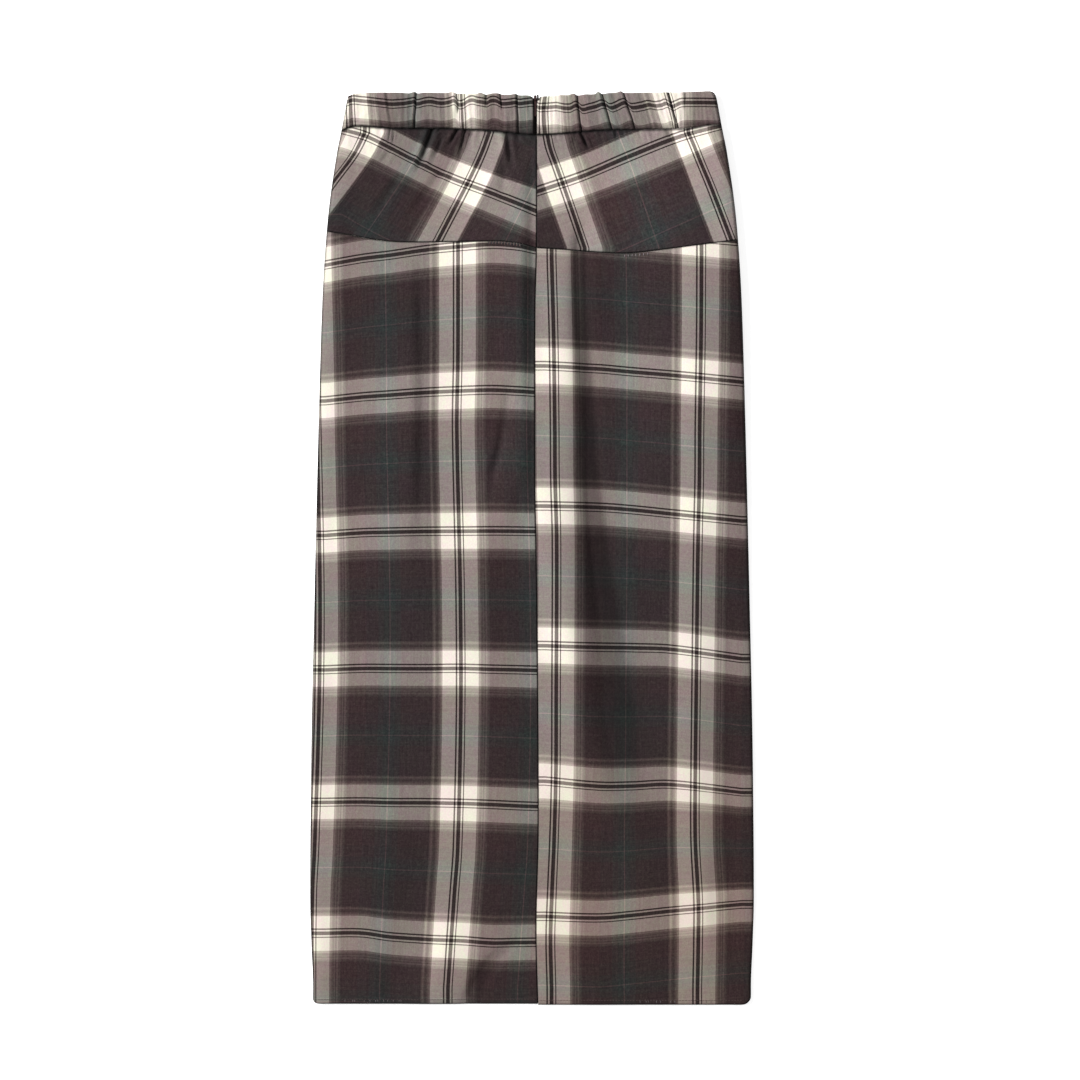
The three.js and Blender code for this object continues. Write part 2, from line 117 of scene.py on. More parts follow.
# The view in metres: how far over the cloth it is taken from, how wide it is, and its middle.
camera_height = 3.0
cloth_level = 0.004
frame_width = 1.080
frame_centre = (0.008, 0.008)
camera_data = bpy.data.cameras.new("overhead")
camera_data.sensor_width = 36
camera_data.lens = camera_data.sensor_width * camera_height / frame_width
camera = bpy.data.objects.new("overhead", camera_data)
camera.location = (*frame_centre, camera_height + cloth_level)
scene.collection.objects.link(camera)
scene.camera = camera


# ---- The plaid cloth ------------------------------------------------------------------------
# A light brushed twill in a large check, the same both ways: cream bands with three dark lines
# on a brown ground that has a dull teal stripe and one rosy thread. Every piece is cut from it.

repeat = 140.0
# How the yarns' colours become cloth: the warp's share of them and how far it swings over a line of
# the twill, how much patches darken them and how strongly painted shade in creases, seams and folds
# darkens them (below 0 it is painted light), how deep the dye is, how far the fluff and the twill's
# lines stand up, and how rough the cloth is.
twill = {
    "warp_share": 0.525, "swing": 0.06, "patches": 0.45, "painted_shading": 0.40, "dye": 0.80,
    "fluff_height": 0.5, "line_height": 0.35, "roughness": 0.84, "uneven_roughness": 0.06,
}
# The two tints between which the cloth drifts, and how sharply.
plum_tint = (1.0, 0.968, 0.988, 1)
olive_tint = (0.986, 1.0, 0.972, 1)
tint_contrast = 1.3
# Where the cloth turns warmer towards the hem and the right, in metres, and how much of that the
# left has. Dark yarns are redder there and pale ones duller.
hem_warmth = {"top": -0.10, "foot": -0.34, "left": -0.04, "right": 0.06, "on_left": 0.35}
dark_warmth = (1.09, 0.985, 0.93, 1)
pale_warmth = (0.86, 0.85, 0.81, 1)
pale_contrast = 1.5


def new_group(name, inputs, outputs):
    """A shader node group with named sockets, and its two end nodes."""
    tree = bpy.data.node_groups.new(name, "ShaderNodeTree")
    for socket, kind, value in inputs:
        made = tree.interface.new_socket(socket, in_out="INPUT", socket_type=kind)
        made.default_value = value
    for socket, kind in outputs:
        tree.interface.new_socket(socket, in_out="OUTPUT", socket_type=kind)
    return tree, tree.nodes.new("NodeGroupInput"), tree.nodes.new("NodeGroupOutput")


def add_node(tree, kind, settings=None, **inputs):
    """A node with its settings and inputs. An input takes a value or another node's socket."""
    node = tree.nodes.new(kind)
    for name, value in (settings or {}).items():
        setattr(node, name, value)
    for name, value in inputs.items():
        key = int(name[1:]) if name[0] == "i" and name[1:].isdigit() else name.replace("_", " ")
        if isinstance(value, bpy.types.NodeSocket):
            tree.links.new(value, node.inputs[key])
        else:
            node.inputs[key].default_value = value
    return node


def maths(tree, operation, *values):
    """One step of arithmetic, as a socket."""
    inputs = {f"i{i}": value for i, value in enumerate(values)}
    return add_node(tree, "ShaderNodeMath", {"operation": operation}, **inputs).outputs[0]


def vector_maths(tree, operation, first, second):
    """One step of arithmetic on a vector or a colour, as a socket. SCALE takes a single number."""
    key = "Scale" if operation == "SCALE" else "i1"
    inputs = {"i0": first, key: second}
    return add_node(tree, "ShaderNodeVectorMath", {"operation": operation}, **inputs).outputs[0]


def mix_colour(tree, blend, factor, first, second):
    """Two colours mixed, as a socket."""
    settings = {"data_type": "RGBA", "blend_type": blend}
    return add_node(tree, "ShaderNodeMix", settings, i0=factor, i6=first, i7=second).outputs[2]


# Yarn colours as the eye grades them, from 0 for black to 1 for white.
yarns = {
    "cream": (0.938, 0.915, 0.866),
    "ground": (0.192, 0.160, 0.166),
    "plum": (0.208, 0.158, 0.164),
    "line": (0.165, 0.142, 0.135),
    "pale_fringe": (0.540, 0.499, 0.474),
    "bright_fringe": (0.392, 0.355, 0.338),
    "mid_fringe": (0.290, 0.258, 0.248),
    "dull_fringe": (0.242, 0.212, 0.204),
    "teal": (0.164, 0.184, 0.183),
    "grey_teal": (0.178, 0.175, 0.177),
    "rose": (0.305, 0.262, 0.268),
}
# The order of the yarns, each with the place where it starts, in millimetres from the middle of
# the cream band. It runs from the middle of one ground to the middle of the next.
sett = [
    (-70.5, "rose"), (-69.5, "teal"), (-64.5, "grey_teal"), (-59.5, "ground"),
    (-28.2, "mid_fringe"), (-27.2, "bright_fringe"), (-25.4, "mid_fringe"), (-24.2, "dull_fringe"),
    (-22.6, "mid_fringe"), (-21.4, "bright_fringe"), (-20.0, "pale_fringe"), (-18.0, "cream"),
    (-4.9, "line"), (-3.7, "cream"), (-1.7, "line"), (1.7, "cream"), (3.7, "line"), (4.9, "cream"),
    (18.0, "pale_fringe"), (19.8, "bright_fringe"), (21.4, "mid_fringe"), (22.4, "bright_fringe"),
    (24.0, "mid_fringe"), (25.2, "bright_fringe"), (26.4, "mid_fringe"), (28.2, "dull_fringe"),
    (29.2, "plum"), (46.0, "ground"), (58.5, "grey_teal"), (64.0, "teal"),
]
sett_start = sett[0][0]
# Yarns mix darker in the weave than they would as light, so the mixing has its own gamma.
weave_gamma = 3.5
screen_gamma = 2.2

yarn_tree, yarn_in, yarn_out = new_group(
    "yarn_order",
    [("Thread", "NodeSocketFloat", 0.0), ("Unevenness", "NodeSocketFloat", 0.0)],
    [("Colour", "NodeSocketColor")],
)
turned = maths(yarn_tree, "SUBTRACT", yarn_in.outputs["Thread"], sett_start)
within = maths(yarn_tree, "FLOORED_MODULO", turned, repeat)
ramp = add_node(yarn_tree, "ShaderNodeValToRGB", Fac=maths(yarn_tree, "DIVIDE", within, repeat))
ramp.color_ramp.interpolation = "CONSTANT"
stops = ramp.color_ramp.elements
while len(stops) < len(sett):
    stops.new(1.0)
for stop, (start, yarn) in zip(stops, sett):
    stop.position = (start - sett_start) / repeat
    stop.color = (*(shade ** (screen_gamma / weave_gamma) for shade in yarns[yarn]), 1)
# Dark yarn varies in tone along and between its threads, and cream yarn hardly does.
darkness = vector_maths(yarn_tree, "SUBTRACT", (1, 1, 1), ramp.outputs["Color"])
variation = vector_maths(yarn_tree, "SCALE", darkness, yarn_in.outputs["Unevenness"])
yarn_colour = vector_maths(yarn_tree, "ADD", variation, ramp.outputs["Color"])
yarn_tree.links.new(yarn_colour, yarn_out.inputs["Colour"])

twill_tree, twill_in, twill_out = new_group(
    "plaid_twill",
    [
        ("Threads", "NodeSocketVector", (0, 0, 0)),
        ("Painted shading", "NodeSocketFloat", 0.0),
        ("Streaks", "NodeSocketFloat", 0.2),
        ("Nap", "NodeSocketFloat", 0.06),
        ("Speckle", "NodeSocketFloat", 0.1),
        ("Twill pitch", "NodeSocketFloat", 1.3),
    ],
    [("Colour", "NodeSocketColor"), ("Height", "NodeSocketFloat"), ("Roughness", "NodeSocketFloat")],
)
threads_in = twill_in.outputs["Threads"]
place = add_node(twill_tree, "ShaderNodeSeparateXYZ", Vector=threads_in)
warp_place, weft_place = place.outputs["X"], place.outputs["Y"]


def grain(tree, threads, swells, detail):
    """Noise from -1 to 1. swells says how many it has in a millimetre across the warp's threads and
    across the weft's, so fewer of them make a streak along a thread."""
    drawn = vector_maths(tree, "MULTIPLY", threads, swells)
    found = add_node(tree, "ShaderNodeTexNoise", Vector=drawn, Scale=1.0, Detail=detail, Roughness=0.6)
    return maths(tree, "MULTIPLY_ADD", found.outputs["Fac"], 2.0, -1.0)


along_warp = grain(twill_tree, threads_in, (0.60, 0.030, 1.0), 3.0)
along_weft = grain(twill_tree, threads_in, (0.035, 0.65, 1.0), 3.0)
speckle = grain(twill_tree, threads_in, (0.75, 0.60, 1.0), 2.0)
mottle = grain(twill_tree, threads_in, (0.36, 0.26, 1.0), 4.0)
cloudy = grain(twill_tree, threads_in, (0.030, 0.022, 1.0), 3.0)
hue = grain(twill_tree, threads_in, (0.050, 0.035, 1.0), 4.0)

warp, weft = twill_tree.nodes.new("ShaderNodeGroup"), twill_tree.nodes.new("ShaderNodeGroup")
for yarn_set, spot, streak in ((warp, warp_place, along_warp), (weft, weft_place, along_weft)):
    yarn_set.node_tree = yarn_tree
    twill_tree.links.new(spot, yarn_set.inputs["Thread"])
    fluff = maths(twill_tree, "ADD", speckle, mottle)
    brushed = maths(twill_tree, "MULTIPLY", fluff, twill_in.outputs["Nap"])
    unevenness = maths(twill_tree, "MULTIPLY_ADD", streak, twill_in.outputs["Streaks"], brushed)
    twill_tree.links.new(unevenness, yarn_set.inputs["Unevenness"])

# Twill lines: where they rise the warp shows more, and between them the weft.
slant = maths(twill_tree, "ADD", warp_place, weft_place)
turns = maths(twill_tree, "DIVIDE", slant, twill_in.outputs["Twill pitch"])
twill_wave = maths(twill_tree, "SINE", maths(twill_tree, "MULTIPLY", turns, 2 * math.pi))
lean = maths(twill_tree, "MULTIPLY_ADD", twill_wave, twill["swing"], twill["warp_share"])
woven = mix_colour(twill_tree, "MIX", lean, weft.outputs["Colour"], warp.outputs["Colour"])

# The fine speckle of brushed yarn, cloudy patches some 4 cm wide, and a drift from plum to olive.
uneven = maths(twill_tree, "MULTIPLY_ADD", cloudy, twill["patches"], speckle)
tone = maths(twill_tree, "MULTIPLY_ADD", uneven, twill_in.outputs["Speckle"], 1.0)
# Painted shade: each piece's painted shading darkens the woven colour, and below 0 it is painted light that
# brightens it.
shaded = maths(twill_tree, "MULTIPLY_ADD", twill_in.outputs["Painted shading"], -twill["painted_shading"], 1.0)
toned = vector_maths(twill_tree, "SCALE", woven, maths(twill_tree, "MULTIPLY", tone, shaded))
drift = maths(twill_tree, "ADD", hue, mottle)
plum_or_olive = maths(twill_tree, "MULTIPLY_ADD", drift, tint_contrast, 0.5)
tint = mix_colour(twill_tree, "MIX", plum_or_olive, plum_tint, olive_tint)
tinted = mix_colour(twill_tree, "MULTIPLY", 1.0, toned, tint)
as_light = add_node(twill_tree, "ShaderNodeGamma", Color=tinted, Gamma=weave_gamma)
dyed = vector_maths(twill_tree, "SCALE", as_light.outputs[0], twill["dye"])
twill_tree.links.new(dyed, twill_out.inputs["Colour"])

lines = maths(twill_tree, "MULTIPLY", twill_wave, twill["line_height"])
relief = maths(twill_tree, "MULTIPLY_ADD", speckle, twill["fluff_height"], lines)
twill_tree.links.new(relief, twill_out.inputs["Height"])
matt = maths(twill_tree, "MULTIPLY_ADD", speckle, twill["uneven_roughness"], twill["roughness"])
twill_tree.links.new(matt, twill_out.inputs["Roughness"])


def plaid_material(name):
    """Plaid twill that follows the piece's own threads, which its UV map counts in millimetres."""
    material, tree, shader = new_material(name)
    threads = add_node(tree, "ShaderNodeUVMap", {"uv_map": "threads"})
    # Each piece carries painted shade for its creases, seams and folds, and painted light where it is below
    # 0.
    painted_shading = add_node(tree, "ShaderNodeAttribute", {"attribute_name": "painted_shading"})
    cloth = tree.nodes.new("ShaderNodeGroup")
    cloth.node_tree = twill_tree
    cloth.inputs["Streaks"].default_value = 0.125
    cloth.inputs["Nap"].default_value = 0.10
    cloth.inputs["Speckle"].default_value = 0.035
    tree.links.new(threads.outputs["UV"], cloth.inputs["Threads"])
    tree.links.new(painted_shading.outputs["Fac"], cloth.inputs["Painted shading"])
    bump = add_node(tree, "ShaderNodeBump", Strength=0.35, Distance=0.00025, Height=cloth.outputs["Height"])
    place = add_node(tree, "ShaderNodeTexCoord")
    spot = add_node(tree, "ShaderNodeSeparateXYZ", Vector=place.outputs["Object"])
    low = add_node(
        tree, "ShaderNodeMapRange",
        Value=spot.outputs["Y"], From_Min=hem_warmth["top"], From_Max=hem_warmth["foot"],
    )
    right = add_node(
        tree, "ShaderNodeMapRange",
        Value=spot.outputs["X"], From_Min=hem_warmth["left"], From_Max=hem_warmth["right"],
        To_Min=hem_warmth["on_left"],
    )
    warmth = maths(tree, "MULTIPLY", low.outputs[0], right.outputs[0])
    brightness = add_node(tree, "ShaderNodeRGBToBW", Color=cloth.outputs["Colour"])
    paleness = maths(tree, "MULTIPLY", brightness.outputs[0], pale_contrast)
    warm_tint = mix_colour(tree, "MIX", paleness, dark_warmth, pale_warmth)
    warmed = mix_colour(tree, "MULTIPLY", warmth, cloth.outputs["Colour"], warm_tint)
    tree.links.new(warmed, shader.inputs["Base Color"])
    tree.links.new(cloth.outputs["Roughness"], shader.inputs["Roughness"])
    tree.links.new(bump.outputs["Normal"], shader.inputs["Normal"])
    shader.inputs["Sheen Weight"].default_value = 0.04
    shader.inputs["Sheen Roughness"].default_value = 0.5
    shader.inputs["Specular IOR Level"].default_value = 0.12
    return material


plaid = plaid_material("plaid_cloth")


# ---- The lower panels of the back -----------------------------------------------------------
# Two long panels cut on the straight grain, joined down the middle by a plain seam and turned
# up at the hem. They lie on the front with a little slack, in long low folds.

# The skirt's half width by height. In what follows -1 is the left side as it is seen, and 1 the right.
side_line = {
    "y": (-457, -432, -400, -352, -232, -152, -72, 8, 88, 168, 248, 300, 348, 396, 417, 436, 448, 454, 457),
    "half": (219.2, 219.2, 220.6, 222, 221.2, 220, 218.2, 216.4, 214.5, 212.4, 209.8, 206.8, 202.2, 195,
             190.8, 187.2, 185, 183, 180.5),
}
centre_seam = {"y": (-457, -380, -280, -52, 70, 240, 300, 457), "x": (6, 4.2, 6.4, 5, 3, 3.2, 4.6, 4.6)}
yoke_seam = {
    -1: {
        "x": (-206, -182, -157, -129, -66, -32, -14, 5),
        "y": (317, 313, 308.3, 306, 306.4, 306.6, 304.6, 300),
    },
    1: {"x": (4, 38, 71, 96, 137, 206), "y": (300.4, 298, 295.6, 294.8, 299, 308)},
}
# Height of the back's underside over the table, and of the side seams.
back_underside = {"y": (-457, 150, 235, 300, 415, 457), "z": (1.7, 1.7, 2.8, 2.9, 3.6, 3.6)}
side_seam_level = {"y": (-457, 150, 300, 412, 457), "z": (2.05, 2.05, 2.4, 3.0, 3.0)}
# Long low swells: where each one's crest lies and how long it is, how far its left and right flanks
# reach, how many degrees it is turned, and how high it stands and how much painted light the cloth
# over it gets.
soft_rises = {
    "x": (30, 38, 158, 162, -12, -18, 4, -125, -75, 110, 172, -150, -95, 60, -60, 200, 118, 105, -14),
    "y": (170, -60, 200, -170, 250, 80, 60, 110, -425, -330, -350, -330, -420, -440, -60, 190, 150, 350, 385),
    "length": (150, 150, 230, 170, 110, 60, 60, 160, 60, 110, 80, 110, 60, 60, 140, 200, 190, 55, 40),
    "left": (24, 26, 62, 50, 60, 24, 26, 50, 30, 34, 24, 30, 20, 26, 60, 30, 36, 60, 26),
    "right": (36, 52, 34, 22, 13, 16, 30, 26, 24, 26, 13, 22, 18, 22, 40, 20, 34, 70, 16),
    "turn": (1, 12, 0, -2, 2, -14, 0, -2, -30, 6, 0, -6, -20, 10, 0, 0, 0, 0, 0),
    "height": (3.6, 3.8, 6.8, 2.6, 3.8, 3.0, 1.6, 3.2, 2.2, 1.4, 2.0, 1.5, 1.2, 1.2, 1.4, 3.4, 0.4, 0.6, 0.4),
    "painted_light": (0, 0, 0.02, 0, 0.12, 0.12, 0, 0.12, 0, 0, 0, 0, 0, 0, 0, 0.06, 0.12, 0.14, 0.14),
}
# Valleys between them, each followed down the skirt: its place, width, depth and painted shade by height.
valleys = (
    {
        "y": (-300, -255, -212, -155, -70, -30, 80, 130, 240, 300, 330),
        "x": (112, 106, 95, 85, 75, 70, 58.5, 57, 49.5, 48.5, 48),
        "width": (26, 26, 26, 25, 20, 16, 11, 9.5, 8, 7, 6),
        "depth": (0, 1.5, 3.0, 4.0, 4.6, 4.6, 4.2, 4.0, 3.6, 2.8, 0),
        "shade": (0, 0.10, 0.24, 0.34, 0.44, 0.46, 0.48, 0.46, 0.46, 0.34, 0),
    },
    {
        "y": (40, 70, 80, 100, 120, 150, 180),
        "x": (-43, -40, -38, -32.5, -29, -25, -22),
        "width": (4, 4, 4, 4, 4.5, 6, 8),
        "depth": (0, 1.0, 1.8, 1.8, 1.5, 0.8, 0),
        "shade": (0, 0.10, 0.18, 0.20, 0.14, 0.05, 0),
    },
    {
        "y": (20, 60, 120, 200, 260, 300, 360, 400),
        "x": (0, 0, -1, -3, -2, -1, -1, -1),
        "width": (4, 4, 4.5, 5.5, 5.5, 4.5, 4, 4),
        "depth": (0, 0.6, 0.8, 1.0, 1.0, 0.8, 0.6, 0),
        "shade": (0, 0.08, 0.12, 0.20, 0.20, 0.12, 0.10, 0),
    },
    {
        "y": (-20, 40, 100, 160, 230, 300),
        "x": (-113, -112, -110.5, -110, -111, -113),
        "width": (6, 6, 6, 6, 6, 6),
        "depth": (0, 0.8, 1.4, 1.2, 1.4, 0),
        "shade": (0, 0.05, 0.14, 0.10, 0.12, 0),
    },
    {
        "y": (-457, -440, -425, -410, -398, -388),
        "x": (-61, -56, -48, -37, -24, -10),
        "width": (8, 8, 8, 7, 7, 6),
        "depth": (2.2, 2.2, 2.2, 1.8, 1.2, 0),
        "shade": (0.24, 0.24, 0.22, 0.16, 0.10, 0),
    },
)
cloth_thickness = 1.2
shell_thickness = 1.0
seam_gap = 0.3
# How far the cloth rolls down into a seam, how dark and how wide the painted shadow there and at the
# sides is, and how much painted light the cloth may take.
seam_roll = 1.1
seam_shade = 0.8
seam_shadow = 0.7
side_shadow = {"shade": 0.95, "width": 1.7}
lightest = -0.4
# The slack beside each side seam: how far in from it, over what width and how high it stands. Then
# how far the cloth rolls over at that seam.
side_slack = {"inset": 8, "width": 10, "height": 0.6}
side_roll = 4.0
hem_line = {-1: -456, 1: -457}
hem_corner = {-1: 5, 1: 9}
# The turned hem: its depth and how much thicker it is, the step at its top, and the groove and the
# faint painted shade along its stitches, and the painted shade at its folded edge.
hem = {
    "depth": 6.0, "thicker": 0.6, "step": 0.8, "roll": 0.9, "groove": 5.4, "groove_depth": 0.35,
    "stitch_line": 4.6, "stitch_shade": 0.30, "line_width": 0.5, "edge_shade": 0.75, "edge_width": 1.5,
}
# Unevenness that pressing leaves: how high and how wide its swells are, its seed, and how soon it
# dies out away from the edge beside it, if it keeps to one.
panel_ripples = {
    "height": (0.35, 0.12, 0.30, 0.25, 0.20),
    "size": (45, 14, 9, 8, 10),
    "seed": (1, 2, 3, 4, 5),
    "beside": ("all over", "all over", "seam", "high", "low"),
    "reach": (None, None, 6, 6, 9),
}


def curve(at, table, place, value):
    """A smooth line through a table's rows, held level past its two ends."""
    places = np.array(table[place], float)
    values = np.array(table[value], float)
    last = len(places) - 1
    at = np.clip(at, places[0], places[-1])
    i = np.clip(np.searchsorted(places, at, side="right") - 1, 0, last - 1)

    def slope(a, b):
        return (values[b] - values[a]) / (places[b] - places[a])

    start = slope(np.maximum(i - 1, 0), i + 1)
    end = slope(i, np.minimum(i + 2, last))
    span = places[i + 1] - places[i]
    t = (at - places[i]) / span
    rise = t * t * (3 - 2 * t)
    level = values[i] + (values[i + 1] - values[i]) * rise
    return level + span * (start * t * (1 - t) ** 2 - end * t * t * (1 - t))


def round_off(distance, radius):
    """How far a rounded edge has sunk at a distance in from it."""
    short = radius - np.clip(distance, 0, radius)
    return radius - np.sqrt(np.maximum(radius * radius - short * short, 0))


def close_to(distance, width):
    """How close a place is to a line, from 1 on it to 0 well past its width."""
    return np.exp(-((distance / width) ** 2))


def darkened(spots, shadow):
    """Adds the painted shadow along a piece's side, where it turns under, to its other painted shade and
    light.
    """
    edge = side_shadow["shade"] * close_to(spots["side"], side_shadow["width"])
    return np.clip(shadow + edge * (1 - shadow), lightest, 1)


def ripple(x, y, size, seed):
    """A smooth unevenness from -1 to 1, with swells about as wide as size."""
    across, up = np.broadcast_arrays(x / size, y / size)
    spots = zip(across.ravel(), up.ravel())
    swells = [noise.noise((float(a) + seed * 17.3, float(b) - seed * 9.1, seed)) for a, b in spots]
    return np.array(swells).reshape(across.shape)


def uneven_height(x, y, spots, ripples):
    """How high a table of ripples stands over a piece, each kept to its own edge."""
    total = np.zeros_like(x)
    for height, size, seed, beside, reach in zip(*ripples.values()):
        fade = np.exp(-spots[beside] / reach) if reach else 1.0
        total = total + height * ripple(x, y, size, seed) * fade
    return total


def back_cloth(x, y):
    """Outer height of the back cloth with its slack in long folds, and the painted shade that its valleys
    give it. Painted shade below 0 is painted light, which the swells give."""
    underside = curve(y, back_underside, "y", "z")
    from_slack = curve(y, side_line, "y", "half") - np.abs(x) - side_slack["inset"]
    height = underside + cloth_thickness + side_slack["height"] * close_to(from_slack, side_slack["width"])
    light = np.zeros_like(height)
    for crest_x, crest_y, length, left, right, turn, swell, painted_light in zip(*soft_rises.values()):
        angle = math.radians(turn)
        from_x, from_y = x - crest_x, y - crest_y
        along = from_y * math.cos(angle) - from_x * math.sin(angle)
        aside = from_x * math.cos(angle) + from_y * math.sin(angle)
        flank = np.where(aside < 0, left, right)
        mound = np.exp(-((along / length) ** 2 + (aside / flank) ** 2))
        height = height + swell * mound
        light = light + painted_light * mound
    shade = np.zeros_like(height)
    for valley in valleys:
        away = (x - curve(y, valley, "y", "x")) / curve(y, valley, "y", "width")
        height = height - curve(y, valley, "y", "depth") * np.exp(-(away ** 2))
        shade = np.maximum(shade, curve(y, valley, "y", "shade") * np.exp(-((away * 0.9) ** 2)))
    pressed_flat = underside + 0.6 * cloth_thickness
    return np.maximum(height, pressed_flat), shade - light


def spread_back(hand, columns, rows, lower, upper, centre, corner=0.0):
    """Lays a grid of points over a back piece, from its side to the centre and between two lines.
    columns hold (share, turn, inset) and rows (share, inset). Returns where each point is, and how far
    it lies from the piece's low and high edges, its centre seam and its side."""
    share, turn, inset = (np.array(part, float)[None, :] for part in columns)
    row_share, row_inset = (np.array(part, float)[:, None] for part in rows)
    turn = np.radians(turn)
    x = np.full((row_share.shape[0], share.shape[1]), hand * 100.0)
    # The columns and the lines depend on each other, so a few rounds settle them.
    for _ in range(4):
        low, high = lower(x) + seam_gap / 2, upper(x) - seam_gap / 2
        y = low + (high - low) * row_share + row_inset
        side = curve(y, side_line, "y", "half") - (round_off(y - low, corner) if corner else 0)
        edge = hand * (side - side_roll * (1 - np.cos(turn)))
        x = edge + (centre(y) - edge) * share + hand * inset
    inner = hand * (side - side_roll)
    return {
        "x": x, "y": y, "rise": np.sin(turn), "low": y - low, "high": high - y,
        "share": (y - low) / (high - low), "seam": np.abs(x - centre(y)),
        "height_x": np.where(share == 0, inner, x), "side": side - np.abs(x),
    }


def mesh_piece(name, skins, threads, painted_shading, material, node, shell=None):
    """Makes a cloth piece from two skins of points, joined all round, or from one, which is then a
    shell. Its thickness goes down from an upper skin, or up from a lower one if it is below 0."""
    build = bmesh.new()
    uv = build.loops.layers.uv.new("threads")
    # Each point carries its painted shade, and painted light where the value is below 0.
    shadow = build.verts.layers.float.new("painted_shading")
    count_rows, count_columns = skins[0][0].shape
    for number, skin in enumerate(skins):
        made = bmesh.ops.create_grid(
            build, x_segments=count_columns - 1, y_segments=count_rows - 1, size=0.5, matrix=Matrix()
        )["verts"]
        warp_spots, weft_spots = threads[min(number, len(threads) - 1)]
        flat = zip(made, *(part.ravel() for part in (*skin, warp_spots, weft_spots, painted_shading)))
        spots = {}
        for vert, x, y, z, warp_spot, weft_spot, painted_shading_share in flat:
            vert.co = (x * MM, y * MM, z * MM)
            vert[shadow] = painted_shading_share
            spots[vert] = (warp_spot, weft_spot)
        faces = {face for vert in made for face in vert.link_faces}
        for face in faces:
            for loop in face.loops:
                loop[uv].uv = spots[loop.vert]
        if number == 1:
            bmesh.ops.reverse_faces(build, faces=list(faces))
    if len(skins) == 2:
        rim = [edge for edge in build.edges if edge.is_boundary]
        for face in bmesh.ops.bridge_loops(build, edges=rim)["faces"]:
            for loop in face.loops:
                beside = [other for other in loop.vert.link_loops if other.face is not face]
                loop[uv].uv = beside[0][uv].uv
    bmesh.ops.recalc_face_normals(build, faces=build.faces)
    piece = make_piece(build, name, material)
    if shell is not None:
        upward = sum(face.normal.z * face.area for face in piece.data.polygons)
        if (upward < 0) != (shell < 0):
            piece.data.flip_normals()
        wall = piece.modifiers.new("cloth", "SOLIDIFY")
        wall.thickness = abs(shell) * MM
        wall.offset = -1
        wall.use_even_offset = False
    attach(piece, "skirt")
    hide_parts(node)
    return piece


def steps(start, end, spacing):
    """Even steps from start to end, about spacing apart, both ends included."""
    return np.linspace(start, end, max(2, round(abs(end - start) / spacing) + 1))


# The columns of a back piece: degrees round its side, and millimetres from its centre seam.
side_turns = (0, 15, 30, 45, 60, 75)
seam_steps = np.array([3.0, 2.0, 1.2, 0.8, 0.5, 0.25, 0.1, 0.0])
plain_stop = 3.6


def piece_columns(width, spacing):
    """Columns from the side, round its roll and on to the centre seam, closer together there."""
    plain = steps(0, 1 - plain_stop / width, spacing / width)
    share = np.concatenate([np.zeros(len(side_turns)), plain, np.ones(len(seam_steps))])
    turn = np.concatenate([side_turns, np.full(len(plain) + len(seam_steps), 90)])
    inset = np.concatenate([np.zeros(len(side_turns) + len(plain)), seam_steps])
    return share, turn, inset


def piece_rows(height, spacing, low_steps, high_steps):
    """Rows from a piece's lower edge to its upper edge, closer together at both."""
    plain = steps(low_steps[-1] / height, 1 - high_steps[0] / height, spacing / height)[1:-1]
    share = np.concatenate([np.zeros(len(low_steps)), plain, np.ones(len(high_steps))])
    inset = np.concatenate([low_steps, np.zeros(len(plain)), -np.array(high_steps)])
    return share, inset


def thread_at(lines, level, place):
    """Which thread runs through a place, read between lines of the check drawn at a few levels."""
    numbers = sorted(key for key in lines if key != "at")
    spots = [curve(level, lines, "at", number) for number in numbers]
    way = 1 if lines[numbers[-1]][0] > lines[numbers[0]][0] else -1
    found = numbers[0] + (place - spots[0]) * way
    for first, after, start, end in zip(numbers, numbers[1:], spots, spots[1:]):
        part = (place - start) / (end - start)
        found = np.where(part > 0, first + part * (after - first), found)
    beyond = (place - spots[-1]) * way
    return np.where(beyond > 0, numbers[-1] + beyond, found)


# Where the check's lines run on each panel. A line has the number of its thread, counted in
# millimetres of flat cloth, and its places are given across the panel at a few heights for the
# warp, and up the panel at a few places across it for the weft.
panel_warp = {
    -1: {
        "at": (-440, -385, -340, -300, -160, -40, 120, 190, 290),
        -140: (-220.5, -220.5, -219.8, -217.8, -213.4, -212.4, -215.4, -216.7, -219.5),
        0: (-84.4, -80.7, -77.5, -74.6, -71.5, -72.1, -75.5, -74.4, -74.2),
        80: (-4.4, -0.7, 2.5, 5.4, 8.5, 7.9, 4.5, 5.6, 5.8),
    },
    1: {
        "at": (-440, -392, -352, -292, -225, -152, 8, 70, 120, 210, 290),
        -20: (-0.8, -1.9, -0.7, 1.8, 3.6, 3.9, 4.3, 2.7, 2.4, 1.3, -0.8),
        0: (19.2, 18.1, 19.3, 21.8, 23.6, 23.9, 24.3, 22.7, 22.4, 21.3, 19.2),
        140: (165.2, 166, 166, 162.9, 162.9, 163.7, 165.6, 166.9, 167.1, 168.4, 168.9),
    },
}
